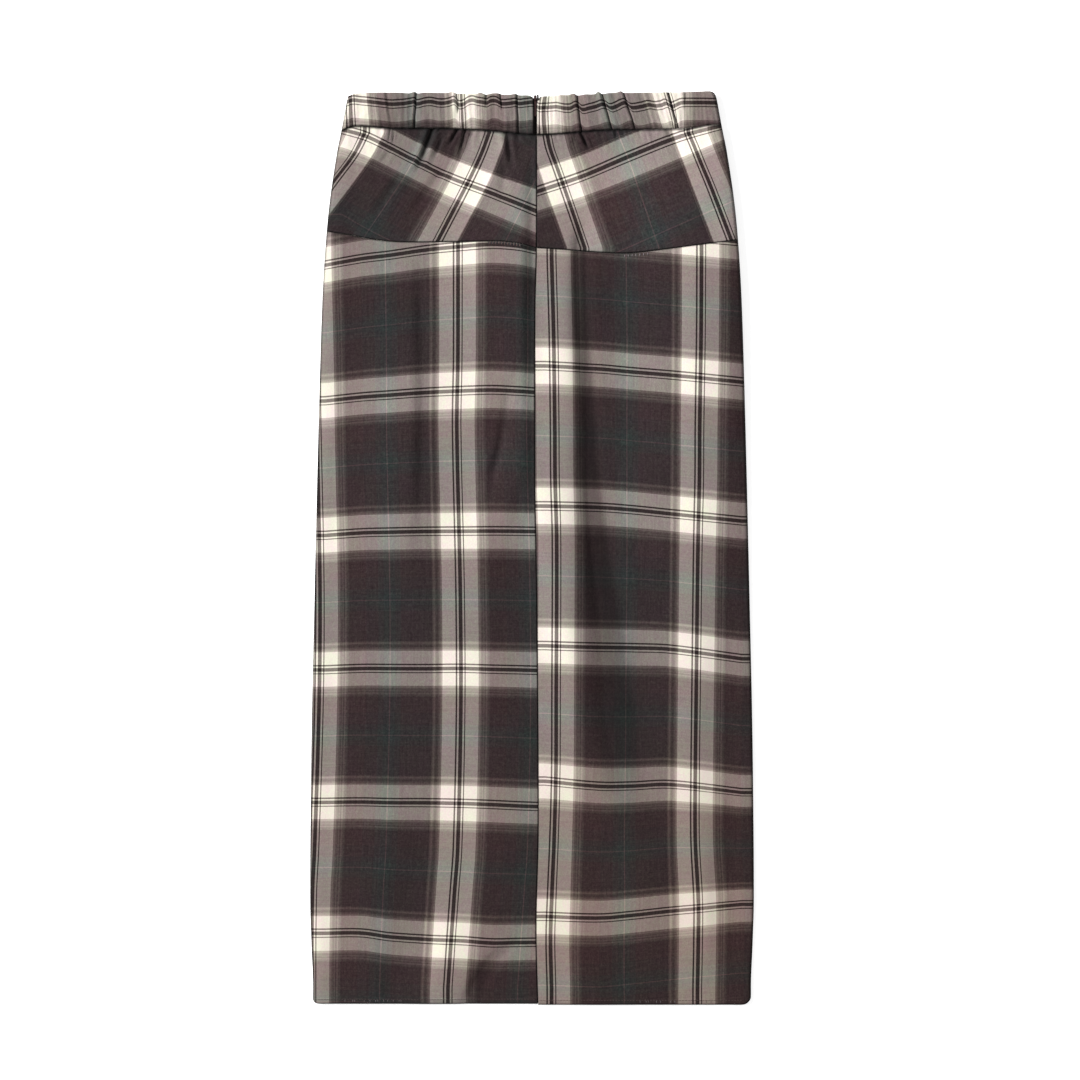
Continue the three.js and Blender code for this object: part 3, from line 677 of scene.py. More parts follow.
panel_weft = {
    -1: {
        "at": (-207, -170, -142, -105, -70, -40, -14, 4),
        0: (283, 289.6, 293, 298.4, 301.8, 303.8, 302, 298.4),
        138: (147.3, 151.2, 153.1, 155.8, 157.4, 158.2, 157, 155.8),
        276: (12.8, 15.4, 16.1, 16.8, 17, 17.2, 17, 16.7),
        414: (-121.7, -120.3, -120.4, -120.5, -120.2, -121.1, -121.7, -122.2),
        552: (-254.2, -253.8, -254.4, -254.6, -255.3, -256.4, -257.7, -258.4),
        690: (-385, -384.8, -388.6, -391.2, -392.4, -394.8, -394.5, -394.2),
    },
    1: {
        "at": (13, 68, 100, 138, 210),
        0: (322, 318.5, 315.5, 312, 306),
        138: (182.3, 179.2, 176.2, 172.9, 166),
        276: (42.2, 40.8, 38.4, 34.5, 27.2),
        414: (-97.5, -99.1, -99.6, -100.9, -110.5),
        552: (-233, -238.2, -238, -236.3, -244.5),
        690: (-368.3, -369.8, -367, -362.8, -356),
    },
}
weft_repeat = 138.0


def as_repeats(threads):
    """Weft threads counted in the warp's repeat, which is a touch wider."""
    return threads * repeat / weft_repeat


panel_surface = {}
for hand, name in ((-1, "panel_back_left"), (1, "panel_back_right")):
    spots = spread_back(
        hand,
        piece_columns(width=212, spacing=2.6),
        piece_rows(
            height=755,
            spacing=3.0,
            low_steps=(0, 0.2, 0.5, 1.0, 1.6, 2.4, 4.0, 4.6, 5.2, 5.6, 6.2, 7.5),
            high_steps=(3.0, 2.0, 1.2, 0.8, 0.4, 0.15, 0),
        ),
        lower=lambda x, hand=hand: np.full_like(x, hem_line[hand] - seam_gap / 2),
        upper=lambda x, hand=hand: curve(x, yoke_seam[hand], "x", "y"),
        centre=lambda y, hand=hand: curve(y, centre_seam, "y", "x") + hand * seam_gap / 2,
        corner=hem_corner[hand],
    )
    x, y, height_x = spots["x"], spots["y"], spots["height_x"]
    z, shade = back_cloth(height_x, y)
    z += uneven_height(height_x, y, spots, panel_ripples)
    z += hem["thicker"] * np.clip((hem["depth"] - spots["low"]) / hem["step"], 0, 1)
    z -= hem["groove_depth"] * close_to(spots["low"] - hem["groove"], hem["line_width"])
    sink = np.maximum(round_off(spots["seam"], seam_roll), round_off(spots["high"], seam_roll))
    z -= np.maximum(sink, round_off(spots["low"], hem["roll"]))
    level = curve(y, side_seam_level, "y", "z") + seam_gap / 2
    z = level + (z - level) * spots["rise"]
    panel_surface[hand] = (x, y, z)
    threads = (thread_at(panel_warp[hand], y, x), as_repeats(thread_at(panel_weft[hand], x, y)))
    # Painted shade in the seams, along the hem's stitches and at its folded edge, laid over the folds'
    # painted shade and light.
    in_seams = seam_shade * np.maximum(
        close_to(spots["seam"], seam_shadow), close_to(spots["high"], seam_shadow)
    )
    stitch_line = hem["stitch_shade"] * close_to(spots["low"] - hem["stitch_line"], hem["line_width"])
    hem_edge = hem["edge_shade"] * close_to(spots["low"], hem["edge_width"])
    painted_shading = np.maximum(in_seams, np.maximum(stitch_line, hem_edge))
    painted_shading = darkened(spots, shade + painted_shading * (1 - shade))
    panel = mesh_piece(name + "_cloth", [(x, y, z)], [threads], painted_shading, plaid, name, shell_thickness)


# ---- The yokes of the back ------------------------------------------------------------------
# Two hip pieces cut on the bias, so that the check runs aslant. Their top edge is eased into
# the elastic waistband, and small gathers run down from it and die out.

band_seam = {
    "x": (-191, -177, -142, -84, -50, -27, 0, 28, 50, 77, 122, 160, 176, 191),
    "y": (417, 421.5, 419.5, 419, 417.5, 415.4, 413, 414, 416, 417.5, 418, 419, 422, 422),
}
# Each gather runs from one place across to another, between two distances below the waistband's
# seam, with its depth, its width and how much painted shade its core gets.
yoke_gathers = {
    "from": (-142, -138.8, -118.5, -99.2, -92, -104, -88.5, -74.2, -66.3, -25.2, -15, -141, 48.5, 83, 90,
             43, 118, 134, -45, 24, -90, -27, 66, 106, 150, -132, -58),
    "to": (-144, -139.7, -118.5, -116.5, -100, -110.5, -98.5, -84, -73.4, -20, -13, -153, 57.5, 84, 92,
           42, 121, 139, -47, 25, -128, -31, 70, 108, 152, -160, -62),
    "start": (0, 0, 0, 0, 0, 18, 6, 0, 0, 0, 0, 20, 0, 0, 0, 0, 0, 0, 0, 0, 40, 30, 0, 0, 0, 45, 0),
    "end": (18, 18, 12, 44, 9, 42, 31, 18, 28, 38, 8, 38, 20, 9, 9, 14, 12, 10, 10, 9, 95, 70, 8, 9, 8,
            90, 10),
    "depth": (0.8, 0.8, 0.4, 2.2, 0.8, 0.9, 0.9, 1.8, 1.7, 1.6, 0.8, 0.5, 2.0, 1.1, 0.5, 0.5, 0.4, 0.5,
              0.4, 0.4, 0.6, 0.5, 0.4, 0.4, 0.4, 0.6, 0.4),
    "width": (0.9, 0.8, 1.6, 2.6, 1.4, 2.2, 1.6, 1.8, 1.4, 2.4, 2.0, 3.0, 1.5, 1.3, 1.1, 1.6, 1.4, 1.6,
              1.4, 1.3, 4.5, 4.0, 1.2, 1.2, 1.2, 4.5, 1.2),
    "shade": (0.8, 0.8, 0.1, 1.0, 0.4, 0.35, 0.35, 0.75, 0.7, 0.6, 0.5, 0.15, 0.9, 0.6, 0.2, 0.2, 0.1,
              0.2, 0.15, 0.1, 0.12, 0.1, 0.15, 0.1, 0.1, 0.12, 0.15),
}
# A gather's narrow core and the soft ridges beside it, in its own widths and depths, how steeply it
# dies out and over how many millimetres it begins, if that isn't at the seam.
gather = {
    "sharpness": 1.7, "ridge": 0.55, "ridge_off": 2.0, "ridge_width": 1.3, "left_ridge": 0.7,
    "dying": 2.2, "onset": 6,
}
# How far the yokes' seam allowance reaches up under the waistband, how the cloth sinks there, and how far the
# painted shadow under the band reaches.
tuck = 1.2
tuck_sink = {"depth": 1.2, "reach": 1.1, "least": -0.5, "shadow": 1.3}
# How much the yokes stand up under the waistband's pull, and the ripples and folds in them.
yoke_lift = {"height": 0.6, "reach": 30}
yoke_ripples = {
    "height": (0.30, 0.12, 0.25, 0.25),
    "size": (35, 12, 8, 8),
    "seed": (6, 7, 9, 10),
    "beside": ("all over", "all over", "low", "seam"),
    "reach": (None, None, 6, 6),
}
pleating = {"height": 0.6, "across": 2.2, "down": 0.35, "size": 9, "seed": 8, "reach": 14}
# A small fold left of the centre: its ridge and the valley under it.
small_fold = {
    "x": -8, "half_width": 8, "ridge_y": 408, "ridge": 0.9, "ridge_width": 4,
    "valley_y": 401, "valley": 0.7, "valley_width": 1.6,
}
# How far a gather draws the check's lines aside and down.
kink = {"x": 0.5, "y": 0.7}
# Painted light on the yokes, where they stand up and catch more light.
yoke_light = {
    -1: {"x": (-200, -100, -60, -8), "light": (0.0, 0.01, 0.05, 0.07)},
    1: {"x": (8, 26, 44, 62, 110, 190), "light": (0.0, 0.0, 0.06, 0.12, 0.12, 0.16)},
}
# Where the check's lines run on the yokes, as on the panels.
yoke_warp = {
    -1: {
        "at": (305, 365, 393, 415),
        0: (-243, -199, -178, -166.8),
        -18.7: (-224, -178.5, -159, -147.5),
        -29.2: (-221.5, -176, -156.8, -145.5),
        -70: (-172, -131.5, -115, -102.5),
        -121.3: (-116, -83.5, -70, -62.2),
        -140: (-95, -64, -50.7, -42.3),
        -158.7: (-75, -43.5, -32, -25.2),
        -169.2: (-72.5, -41, -29.8, -23.2),
        -210: (-27, 2, 12, 19.5),
    },
    1: {
        "at": (300, 360, 385, 400, 415),
        -29.2: (32, 10.5, 2.1, -3.1, -6.7),
        -18.7: (34.5, 13, 4.6, -0.6, -4.2),
        0: (52.5, 32, 23, 17.6, 14.7),
        18.7: (71, 50, 41.5, 36.2, 32.4),
        70: (126.5, 106, 97.5, 91.6, 85.5),
        110.8: (180.5, 157.5, 148.3, 142.5, 137),
        121.3: (183, 160, 150.8, 145, 139.5),
        140: (201.5, 178.5, 168, 162, 155.5),
        158.7: (222, 198.5, 188, 182, 176),
    },
}
yoke_weft = {
    -1: {
        "at": (-190, -166, -140, -90, -40, 5),
        -70: (487, 477, 468, 448, 428, 413),
        -29.2: (439.5, 433.5, 421.5, 396.5, 376.7, 361.5),
        -18.7: (437, 431, 419, 394, 374.2, 359),
        0: (418.5, 412, 399.4, 373.9, 354.8, 337),
        18.7: (400, 391.5, 379, 354.3, 333.3, 314),
        29.2: (390, 381.5, 369, 344.6, 324, 305),
        70: (333.5, 319.5, 306.5, 282, 265, 250),
    },
    1: {
        "at": (5, 50, 100, 150, 200),
        -70: (436, 452, 473, 492, 505),
        -29.2: (381, 396, 417, 434.5, 446.5),
        -18.7: (378.5, 393.5, 414.5, 432, 444),
        0: (356.5, 371.8, 393, 412, 424),
        18.7: (336.5, 350.5, 369.2, 389.5, 411),
        29.2: (327.5, 341, 359.7, 380, 401.5),
        70: (262, 281, 302, 324, 346),
    },
}


def gathers(x, down):
    """Depth and painted shade of the creases that run down a yoke from the waistband and die out. Each has a
    narrow core, painted darker, between two soft ridges, of which the right one is the higher."""
    depth, shadow = np.zeros_like(x), np.zeros_like(x)
    for top, foot, start, end, deep, width, shade in zip(*yoke_gathers.values()):
        part = np.clip((down - start) / (end - start), 0, 1)
        away = (x - top - (foot - top) * part) / width
        onset = np.clip((down - start) / gather["onset"] + (start == 0), 0, 1)
        fade = np.clip((1 - part) * gather["dying"], 0, 1) * onset
        core = np.exp(-(np.abs(away) ** gather["sharpness"])) * fade
        right_ridge = close_to(away - gather["ridge_off"], gather["ridge_width"])
        left_ridge = close_to(away + gather["ridge_off"], gather["ridge_width"]) * gather["left_ridge"]
        depth += deep * (core - gather["ridge"] * (right_ridge + left_ridge) * fade)
        shadow = np.maximum(shadow, core * shade)
    return depth, shadow


for hand, name in ((-1, "yoke_back_left"), (1, "yoke_back_right")):
    spots = spread_back(
        hand,
        piece_columns(width=200, spacing=1.5),
        piece_rows(
            height=118,
            spacing=1.6,
            low_steps=(0, 0.15, 0.4, 0.8, 1.2, 2.0, 3.0),
            high_steps=(4.0, 3.0, 2.2, 1.6, 1.0, 0.5, 0.2, 0),
        ),
        lower=lambda x, hand=hand: curve(x, yoke_seam[hand], "x", "y"),
        upper=lambda x: curve(x, band_seam, "x", "y") + tuck,
        centre=lambda y, hand=hand: curve(y, centre_seam, "y", "x") + hand * seam_gap / 2,
    )
    x, y, height_x = spots["x"], spots["y"], spots["height_x"]
    down = np.maximum(spots["high"] - tuck, tuck_sink["least"])
    creases, crease_shade = gathers(height_x, down)
    z, fold_shade = back_cloth(height_x, y)
    z += yoke_lift["height"] * np.exp(-down / yoke_lift["reach"]) - creases
    z += uneven_height(height_x, y, spots, yoke_ripples)
    drawn_in = ripple(height_x * pleating["across"], y * pleating["down"], pleating["size"], pleating["seed"])
    z += pleating["height"] * drawn_in * np.exp(-down / pleating["reach"])
    ridge = small_fold["ridge"] * close_to(y - small_fold["ridge_y"], small_fold["ridge_width"])
    valley = small_fold["valley"] * close_to(y - small_fold["valley_y"], small_fold["valley_width"])
    z += (ridge - valley) * close_to(height_x - small_fold["x"], small_fold["half_width"])
    sink = np.maximum(round_off(spots["seam"], seam_roll), round_off(spots["low"], seam_roll))
    z -= np.maximum(sink, tuck_sink["depth"] * np.exp(-down / tuck_sink["reach"]))
    level = curve(y, side_seam_level, "y", "z") + seam_gap / 2
    z = level + (z - level) * spots["rise"]
    # The check's lines kink where the cloth is drawn into a crease.
    kink_x, kink_y = x + kink["x"] * creases, y + kink["y"] * creases
    threads = (thread_at(yoke_warp[hand], y, kink_x), thread_at(yoke_weft[hand], x, kink_y))
    # Painted shade in the seams, under the waistband, in the gathers and in the folds, less the painted
    # light.
    in_seams = seam_shade * np.maximum(
        close_to(spots["seam"], seam_shadow), close_to(spots["low"], seam_shadow)
    )
    under_band = close_to(np.maximum(down, 0), tuck_sink["shadow"])
    painted_light = curve(height_x, yoke_light[hand], "x", "light")
    shade = np.maximum(in_seams, under_band) + crease_shade + fold_shade - painted_light
    painted_shading = darkened(spots, shade)
    yoke = mesh_piece(name + "_cloth", [(x, y, z)], [threads], painted_shading, plaid, name, shell_thickness)


# ---- The waistband of the back --------------------------------------------------------------
# Two halves of a casing folded over elastic. The cloth is cut longer than the elastic, which
# pulls it into pillows with narrow creases between them.

band_top = {
    "x": (-187, -183, -179, -174, -161, -132, -123, -120, -116.5, -114, -108, -92, -85, -79.5, -75, -66,
          -56, -52, -46, -39.3, -32.7, -30, -23, -16, -13, -3, 0, 2.5, 6.5, 9, 17, 28, 36, 41.3, 46, 53,
          62.5, 66, 70, 77, 85, 88.7, 92, 108, 123, 148, 168, 177, 181, 184, 186),
    "y": (448, 451.5, 454, 455, 455.4, 455.3, 454.7, 455.5, 455.9, 454.6, 455.4, 455.1, 455.2, 456, 454.5,
          454.5, 454.2, 455.4, 453.4, 454.7, 454.5, 453.4, 453.2, 454, 452.7, 452.5, 451, 449, 451, 451.3,
          452, 453.1, 452.9, 454.3, 452.6, 453.6, 453.9, 456, 454.2, 454.9, 455.5, 456.7, 455.2, 455.3,
          455.6, 455.9, 456.4, 456.7, 455.9, 453.4, 449.5),
}
# The creases between the pillows: where each one lies along the band's top and along its seam, its
# depth, the share of the band's height that it runs down from the top, and its width.
band_creases = {
    "top": (-146, -115.6, -75, -45.8, -31.5, -15, 45, 70, 91.3, 136, 153),
    "seam": (-141, -117.5, -73, -45, -28.5, -13.3, 49.3, 80, 103.5, 146.7, 153),
    "depth": (0.4, 1.4, 1.2, 0.8, 1.1, 1.3, 1.3, 1.25, 1.25, 1.1, 0.5),
    "reach": (1.0, 1.0, 0.60, 0.38, 0.45, 1.0, 1.0, 1.0, 1.0, 1.0, 0.45),
    "spread": (2.6, 0.7, 0.6, 0.8, 0.7, 0.6, 0.65, 0.62, 0.6, 0.65, 0.9),
}
# The middle of the check's dark line along the band: it sags in each pillow and jumps at creases.
band_line = {
    "x": (-185, -179, -171, -161, -151, -141, -134, -127, -121, -117.5, -115, -107, -101, -94, -89, -83,
          -77.5, -73.5, -69, -63, -59, -55, -49, -45, -41, -36, -32, -29, -23, -16, -12.5, -6, 2, 6, 12,
          20, 25, 32, 38, 43, 46.5, 49.5, 57, 63, 69, 73.5, 77.5, 83, 90, 94.5, 98, 109, 116, 123, 129,
          134, 138.5, 143, 148, 153, 159, 170, 186),
    "y": (446, 447.7, 447, 446, 444.8, 443.7, 443.9, 444.5, 445.5, 445.9, 444, 445.8, 446.2, 444.9, 444.7,
          445.6, 447, 443.3, 443.5, 447, 447.7, 446.6, 445.6, 445, 447, 447, 445, 444.1, 444.4, 445.3,
          444.3, 445, 445.3, 440.6, 440.3, 440.8, 441, 439.7, 439.7, 442, 441.5, 438.4, 439.8, 441.3,
          443.3, 443, 440, 441.4, 444.4, 444.6, 440.4, 441.4, 443, 442, 442.8, 444.3, 441.4, 442.6, 444.7,
          445.3, 445.3, 445.3, 445),
}
# How far up the band that line lies. Threads lean as the creases beside them do, and at a few other
# places along the band they lean this far from its seam to its top.
line_share = 0.7
lean_stops = {"x": (-192, 20, 192), "lean": (0, 0, -6)}
band_thickness = 3.0
# The two ends on either side of the zip, and how their top corners are rounded off.
band_end = {-1: 1.4, 1: 5.0}
end_rounding = {-1: -0.8, 1: 3.2}
rounding_from = 443
rounding_height = 8
# How a crease wanders from its line and ends, how deep it must be for its core to get full painted shade, and
# the dip round it and the ridge on its left.
crease = {
    "wander": 0.5, "wander_size": 11, "wander_seed": 16, "fade": 0.2, "dark_at": 1.3,
    "dip": 0.3, "dip_width": 3.5, "ridge": 0.55, "ridge_left": 2.8, "ridge_width": 2.2,
}
pillow_height = 0.6
# Fine wrinkles along the threads, with painted shade in their troughs, and then the other ripples:
# how high and wide their swells are, how much of their change across the band they have down it,
# their seed, whether they follow the threads, and how soon they die out away from the band's seam.
wrinkle = {"height": 0.35, "size": 3.2, "down": 0.10, "seed": 18, "shade": 0.10}
band_ripples = {
    "height": (0.45, 0.15, 0.35),
    "size": (6.5, 5, 4),
    "down": (0.12, 1, 0.3),
    "seed": (13, 14, 17),
    "with_threads": (True, False, False),
    "reach": (None, None, 4),
}
seam_ripple = {"height": 0.5, "size": 5, "seed": 11}
# How far the casing's outer and inner faces roll in at its edges, and how thin it may get.
outer_roll = {"high": 1.6, "low": 2.0, "seam": 0.9}
inner_roll = {"high": 1.5, "low": 0.3}
inner_flatness = 0.9
side_wall = 2.0
least_thickness = 0.5
# The painted shadows along its seam and its end, and painted shade over a stretch of it on its left.
band_shadow = {"low": 1.1, "seam": 0.8, "seam_shade": 0.6}
shaded_stretch = {"x": -132, "half_width": 20, "shade": 0.14}
# Places along the band of some threads of the warp, at the height of the dark line.
band_warp = {
    -1: {
        "at": (0, 1), -152: (-193, -193), -140: (-181.7, -181.7), -121.3: (-164, -164),
        -112: (-155.3, -155.3), -78: (-125, -125), -70: (-119, -119), -62: (-112, -112),
        -28: (-88, -88), -18.7: (-80, -80), 0: (-71, -71), 18.7: (-54.7, -54.7), 28: (-46.7, -46.7),
        62: (-12.7, -12.7), 78: (1.4, 1.4),
    },
    1: {
        "at": (0, 0.25, 0.55, 0.8, 1), -9: (2.5, 2.8, 3.6, 4.2, 5.2), -4.3: (6.6, 6.8, 7.0, 7.6, 8.8),
        0: (13.0, 11.6, 10.9, 11.5, 12.7), 4.3: (16.6, 16.2, 15.8, 16.2, 17), 18.7: (29.3,) * 5,
        28: (39,) * 5, 62: (68,) * 5, 78: (80,) * 5, 112: (112,) * 5, 121.3: (122.5,) * 5,
        140: (138.5,) * 5, 158.7: (152,) * 5, 168: (161,) * 5, 195: (187,) * 5,
    },
}


def leaning(x, up):
    """Where a point of the waistband would be at its dark line, followed along the creases."""
    tops, seams = (np.array(band_creases[key]) for key in ("top", "seam"))
    knots = np.concatenate([line_share * tops + (1 - line_share) * seams, lean_stops["x"]])
    lean_there = np.concatenate([tops - seams, lean_stops["lean"]])
    order = np.argsort(knots)
    return x + (line_share - up) * np.interp(x, knots[order], lean_there[order])


def seam_under_band(x):
    """The band's lower edge, which is a little uneven where the gathers are sewn in."""
    waver = ripple(x, 0, seam_ripple["size"], seam_ripple["seed"])
    return curve(x, band_seam, "x", "y") + seam_ripple["height"] * waver


def band_end_line(hand, y):
    """The end of a half of the band beside the zip, with its top corner rounded off."""
    rounded = np.clip((y - rounding_from) / rounding_height, 0, 1)
    return band_end[hand] + end_rounding[hand] * rounded ** 2


for hand, name in ((-1, "waistband_back_left"), (1, "waistband_back_right")):
    spots = spread_back(
        hand,
        piece_columns(width=186, spacing=0.5),
        piece_rows(
            height=37,
            spacing=1.1,
            low_steps=(0, 0.15, 0.4, 0.8, 1.3, 2.0, 3.0),
            high_steps=(3.0, 2.2, 1.5, 1.0, 0.6, 0.3, 0.1, 0),
        ),
        lower=seam_under_band,
        upper=lambda x: curve(x, band_top, "x", "y") + seam_gap / 2,
        centre=lambda y, hand=hand: band_end_line(hand, y),
    )
    x, y, height_x, up = spots["x"], spots["y"], spots["height_x"], spots["share"]
    folds, shadow, ridges = np.zeros_like(x), np.zeros_like(x), np.zeros_like(x)
    for top, seam, deep, reach, spread in zip(*band_creases.values()):
        wander = crease["wander"] * ripple(top, y, crease["wander_size"], crease["wander_seed"])
        away = x - (seam + (top - seam) * up + wander)
        fade = np.clip((up - 1 + reach) / crease["fade"], 0, 1) if reach < 1 else 1.0
        core = np.exp(-(np.abs(away / spread) ** 1.5)) * fade
        folds += deep * (core + crease["dip"] * close_to(away, crease["dip_width"]) * fade)
        ridges += crease["ridge"] * deep * close_to(away + crease["ridge_left"], crease["ridge_width"]) * fade
        # Painted shade in each crease's core, fullest in deep ones.
        shadow = np.maximum(shadow, core * min(deep / crease["dark_at"], 1))
    base = curve(y, back_underside, "y", "z")
    z = base + band_thickness + pillow_height * 4 * up * (1 - up) - folds + ridges
    line_x = leaning(height_x, up)
    wrinkles = ripple(line_x, y * wrinkle["down"], wrinkle["size"], wrinkle["seed"])
    z += wrinkle["height"] * wrinkles
    for height, size, down, seed, with_threads, reach in zip(*band_ripples.values()):
        fade = np.exp(-spots["low"] / reach) if reach else 1.0
        z += height * ripple(line_x if with_threads else height_x, y * down, size, seed) * fade
    z -= np.maximum.reduce([round_off(spots[edge], radius) for edge, radius in outer_roll.items()])
    level = curve(y, side_seam_level, "y", "z") + seam_gap / 2
    z = level + (z - level) * spots["rise"]
    under_x = x - hand * side_wall * (1 - spots["rise"])
    rolled = np.maximum.reduce([round_off(spots[edge], radius) for edge, radius in inner_roll.items()])
    under = level + (base + rolled * inner_flatness - level) * spots["rise"]
    under = np.minimum(under, z - least_thickness * spots["rise"])
    thread_x = leaning(x, up)
    weft_threads = as_repeats(curve(thread_x, band_line, "x", "y") - y)
    threads = (thread_at(band_warp[hand], up, thread_x), weft_threads)
    # Painted shadow along the band's seam and its end, and painted shade in its creases, in its wrinkles and
    # over the stretch on its left.
    by_end = band_shadow["seam_shade"] * close_to(spots["seam"], band_shadow["seam"])
    edges = np.maximum(close_to(spots["low"], band_shadow["low"]), by_end)
    from_shaded_stretch = (x - shaded_stretch["x"]) / shaded_stretch["half_width"]
    stretch_shade = shaded_stretch["shade"] * np.exp(-(from_shaded_stretch ** 4))
    in_wrinkles = wrinkle["shade"] * np.clip(-wrinkles, 0, 1)
    painted_shading = darkened(spots, np.maximum(edges, np.maximum(shadow, stretch_shade + in_wrinkles)))
    skins = [(x, y, z), (under_x, y, under)]
    band = mesh_piece(name + "_cloth", skins, [threads], painted_shading, plaid, name)


# ---- The tapes of the concealed zip ---------------------------------------------------------
# Two fine dark woven tapes that meet under the centre back seam, and are sewn to its allowances.
# The right one's end is folded up over the corner of the waistband.

zip_x = (band_end[-1] + band_end[1]) / 2
zip_foot = 250
zip_head = 450
tape_underside = {"y": (250, 385, 400, 412, 450), "z": (1.5, 1.5, 1.8, 2.3, 2.3)}
# A tape lies over the coil. It has a bead along its inner edge, which thins and wavers a little.
tape = {
    "width": 11.8, "over_coil": 0.5, "thickness": 0.32, "bead": 1.2, "bead_rise": 0.16,
    "thin_from": -0.25, "thin_width": 0.6, "waver": 0.12, "waver_within": 2, "unevenness": 0.02,
}
# Where its columns lie in from that edge, and how far apart the rest and the rows are.
inner_columns = (0.05, 0.15, 0.35, 0.6, 0.9)
tape_column = 1.2
tape_row = 2.5
# The course of the folded tape end, up from the zip and over the waistband's corner.
tape_end = {
    "along": (0, 0.45, 0.62, 0.75, 1),
    "x": (4.85, 4.9, 5.1, 5.6, 6.7),
    "z": (3.6, 6.4, 7.3, 7.7, 7.6),
}
# Its two edges, and how its upper corner is rounded at the free end.
fold_cut = {"low": 447.4, "high": 452.8, "corner": 1.0, "corner_x": 0.9, "free_from": 0.6}
fold_ripple = {"height": 0.1, "along": 5, "size": 3, "seed": 24}
fold_thickness = 0.5

tape_black = (0.010, 0.008, 0.008, 1)
tape_brown = (0.026, 0.019, 0.018, 1)
tape_cloth, tape_tree, tape_shader = new_material("zip_tape")
ribs_place = add_node(tape_tree, "ShaderNodeUVMap", {"uv_map": "threads"})
ribs = add_node(tape_tree, "ShaderNodeTexWave", Vector=ribs_place.outputs["UV"], Scale=0.9, Distortion=0.6)
fluff = add_node(tape_tree, "ShaderNodeTexNoise", Vector=ribs_place.outputs["UV"], Scale=2.5, Detail=3.0)
tape_tone = mix_colour(tape_tree, "MIX", fluff.outputs["Fac"], tape_black, tape_brown)
tape_tree.links.new(tape_tone, tape_shader.inputs["Base Color"])
tape_bump = add_node(tape_tree, "ShaderNodeBump", Strength=0.4, Distance=0.0002, Height=ribs.outputs["Fac"])
tape_tree.links.new(tape_bump.outputs["Normal"], tape_shader.inputs["Normal"])
tape_shader.inputs["Roughness"].default_value = 0.85
tape_shader.inputs["Specular IOR Level"].default_value = 0.2

for hand, name in ((-1, "zip_tape_left"), (1, "zip_tape_right")):
    columns = steps(tape["bead"], tape["width"], tape_column)
    across = np.concatenate([inner_columns, columns])[None, :]
    y = steps(zip_foot, zip_head, tape_row)[:, None] + 0 * across
    waver = tape["waver"] * ripple(0, y, 12, 21 + hand) * (across < tape["waver_within"])
    x = zip_x + hand * (across + waver)
    under = curve(y, tape_underside, "y", "z") + tape["over_coil"]
    bead = np.sqrt(np.clip(1 - (across / (tape["bead"] / 2) - 1) ** 2, 0, 1))
    bead = tape["bead_rise"] * np.where(across < tape["bead"], bead, 0)
    thickness = tape["thickness"] + bead + tape["unevenness"] * ripple(x, y, 4, 23)
    top = under + thickness * np.clip((across - tape["thin_from"]) / tape["thin_width"], 0, 1)
    skins = [(x, y, top), (x, y, under)]
    mesh_piece(name, skins, [(x, y)], 0 * x, tape_cloth, "zip_tape")

along = steps(0, 1, 0.05)[None, :]
y = steps(fold_cut["low"], fold_cut["high"], 0.4)[:, None] + 0 * along
past_corner = np.clip((y - fold_cut["high"]) / fold_cut["corner"] + 1, 0, 1)
corner = fold_cut["corner_x"] * (1 - np.sqrt(np.clip(1 - past_corner ** 2, 0, 1)))
free_share = np.clip((along - fold_cut["free_from"]) / (1 - fold_cut["free_from"]), 0, 1)
x = curve(along, tape_end, "along", "x") - corner * free_share
swell = ripple(along * fold_ripple["along"], y, fold_ripple["size"], fold_ripple["seed"])
z = curve(along, tape_end, "along", "z") + fold_ripple["height"] * swell
fold = mesh_piece(
    "zip_tape_end", [(x, y, z)], [(x, y)], 0 * x, tape_cloth, "zip_tape", fold_thickness
)


# ---- The coil of the zip --------------------------------------------------------------------
# A nylon coil sewn to the tapes' hidden side. Pressed flat, it shows as a row of small cross bars
# that hold the two tapes together.

tooth = {"pitch": 1.2, "width": 1.9, "length": 0.7, "height": 0.45, "under": 0.02, "edge": 0.12}
first_tooth = 252
last_tooth = 444


def soften(piece, width):
    """Rounds a piece's sharp edges."""
    edge = piece.modifiers.new("soft_edges", "BEVEL")
    edge.width = width * MM
    edge.segments = 3
    edge.limit_method = "ANGLE"


build = bmesh.new()
for y in steps(first_tooth, last_tooth, tooth["pitch"]):
    level = float(curve(y, tape_underside, "y", "z")) + tooth["height"] / 2 + tooth["under"]
    place = Matrix.Translation((zip_x * MM, y * MM, level * MM))
    shape = Matrix.Diagonal((tooth["width"] * MM, tooth["length"] * MM, tooth["height"] * MM, 1))
    bmesh.ops.create_cube(build, size=1, matrix=place @ shape)
coil = make_piece(build, "zip_coil", tape_cloth, smooth=False)
soften(coil, tooth["edge"])
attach(coil, "skirt")
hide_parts("zip_tape")


# ---- The slider of the zip ------------------------------------------------------------------
# A small die-cast plate, enamelled brown and rounded at both ends, in the gap between the ends of
# the waistband. The pull hangs on an arched bridge that stands along its middle.

slider = {"width": 2.6, "nose": 452.8, "tail": 446.0, "under": 3.6, "thickness": 1.0, "edge": 0.16}
plate_round = {"nose": 1.2, "tail": 1.0}
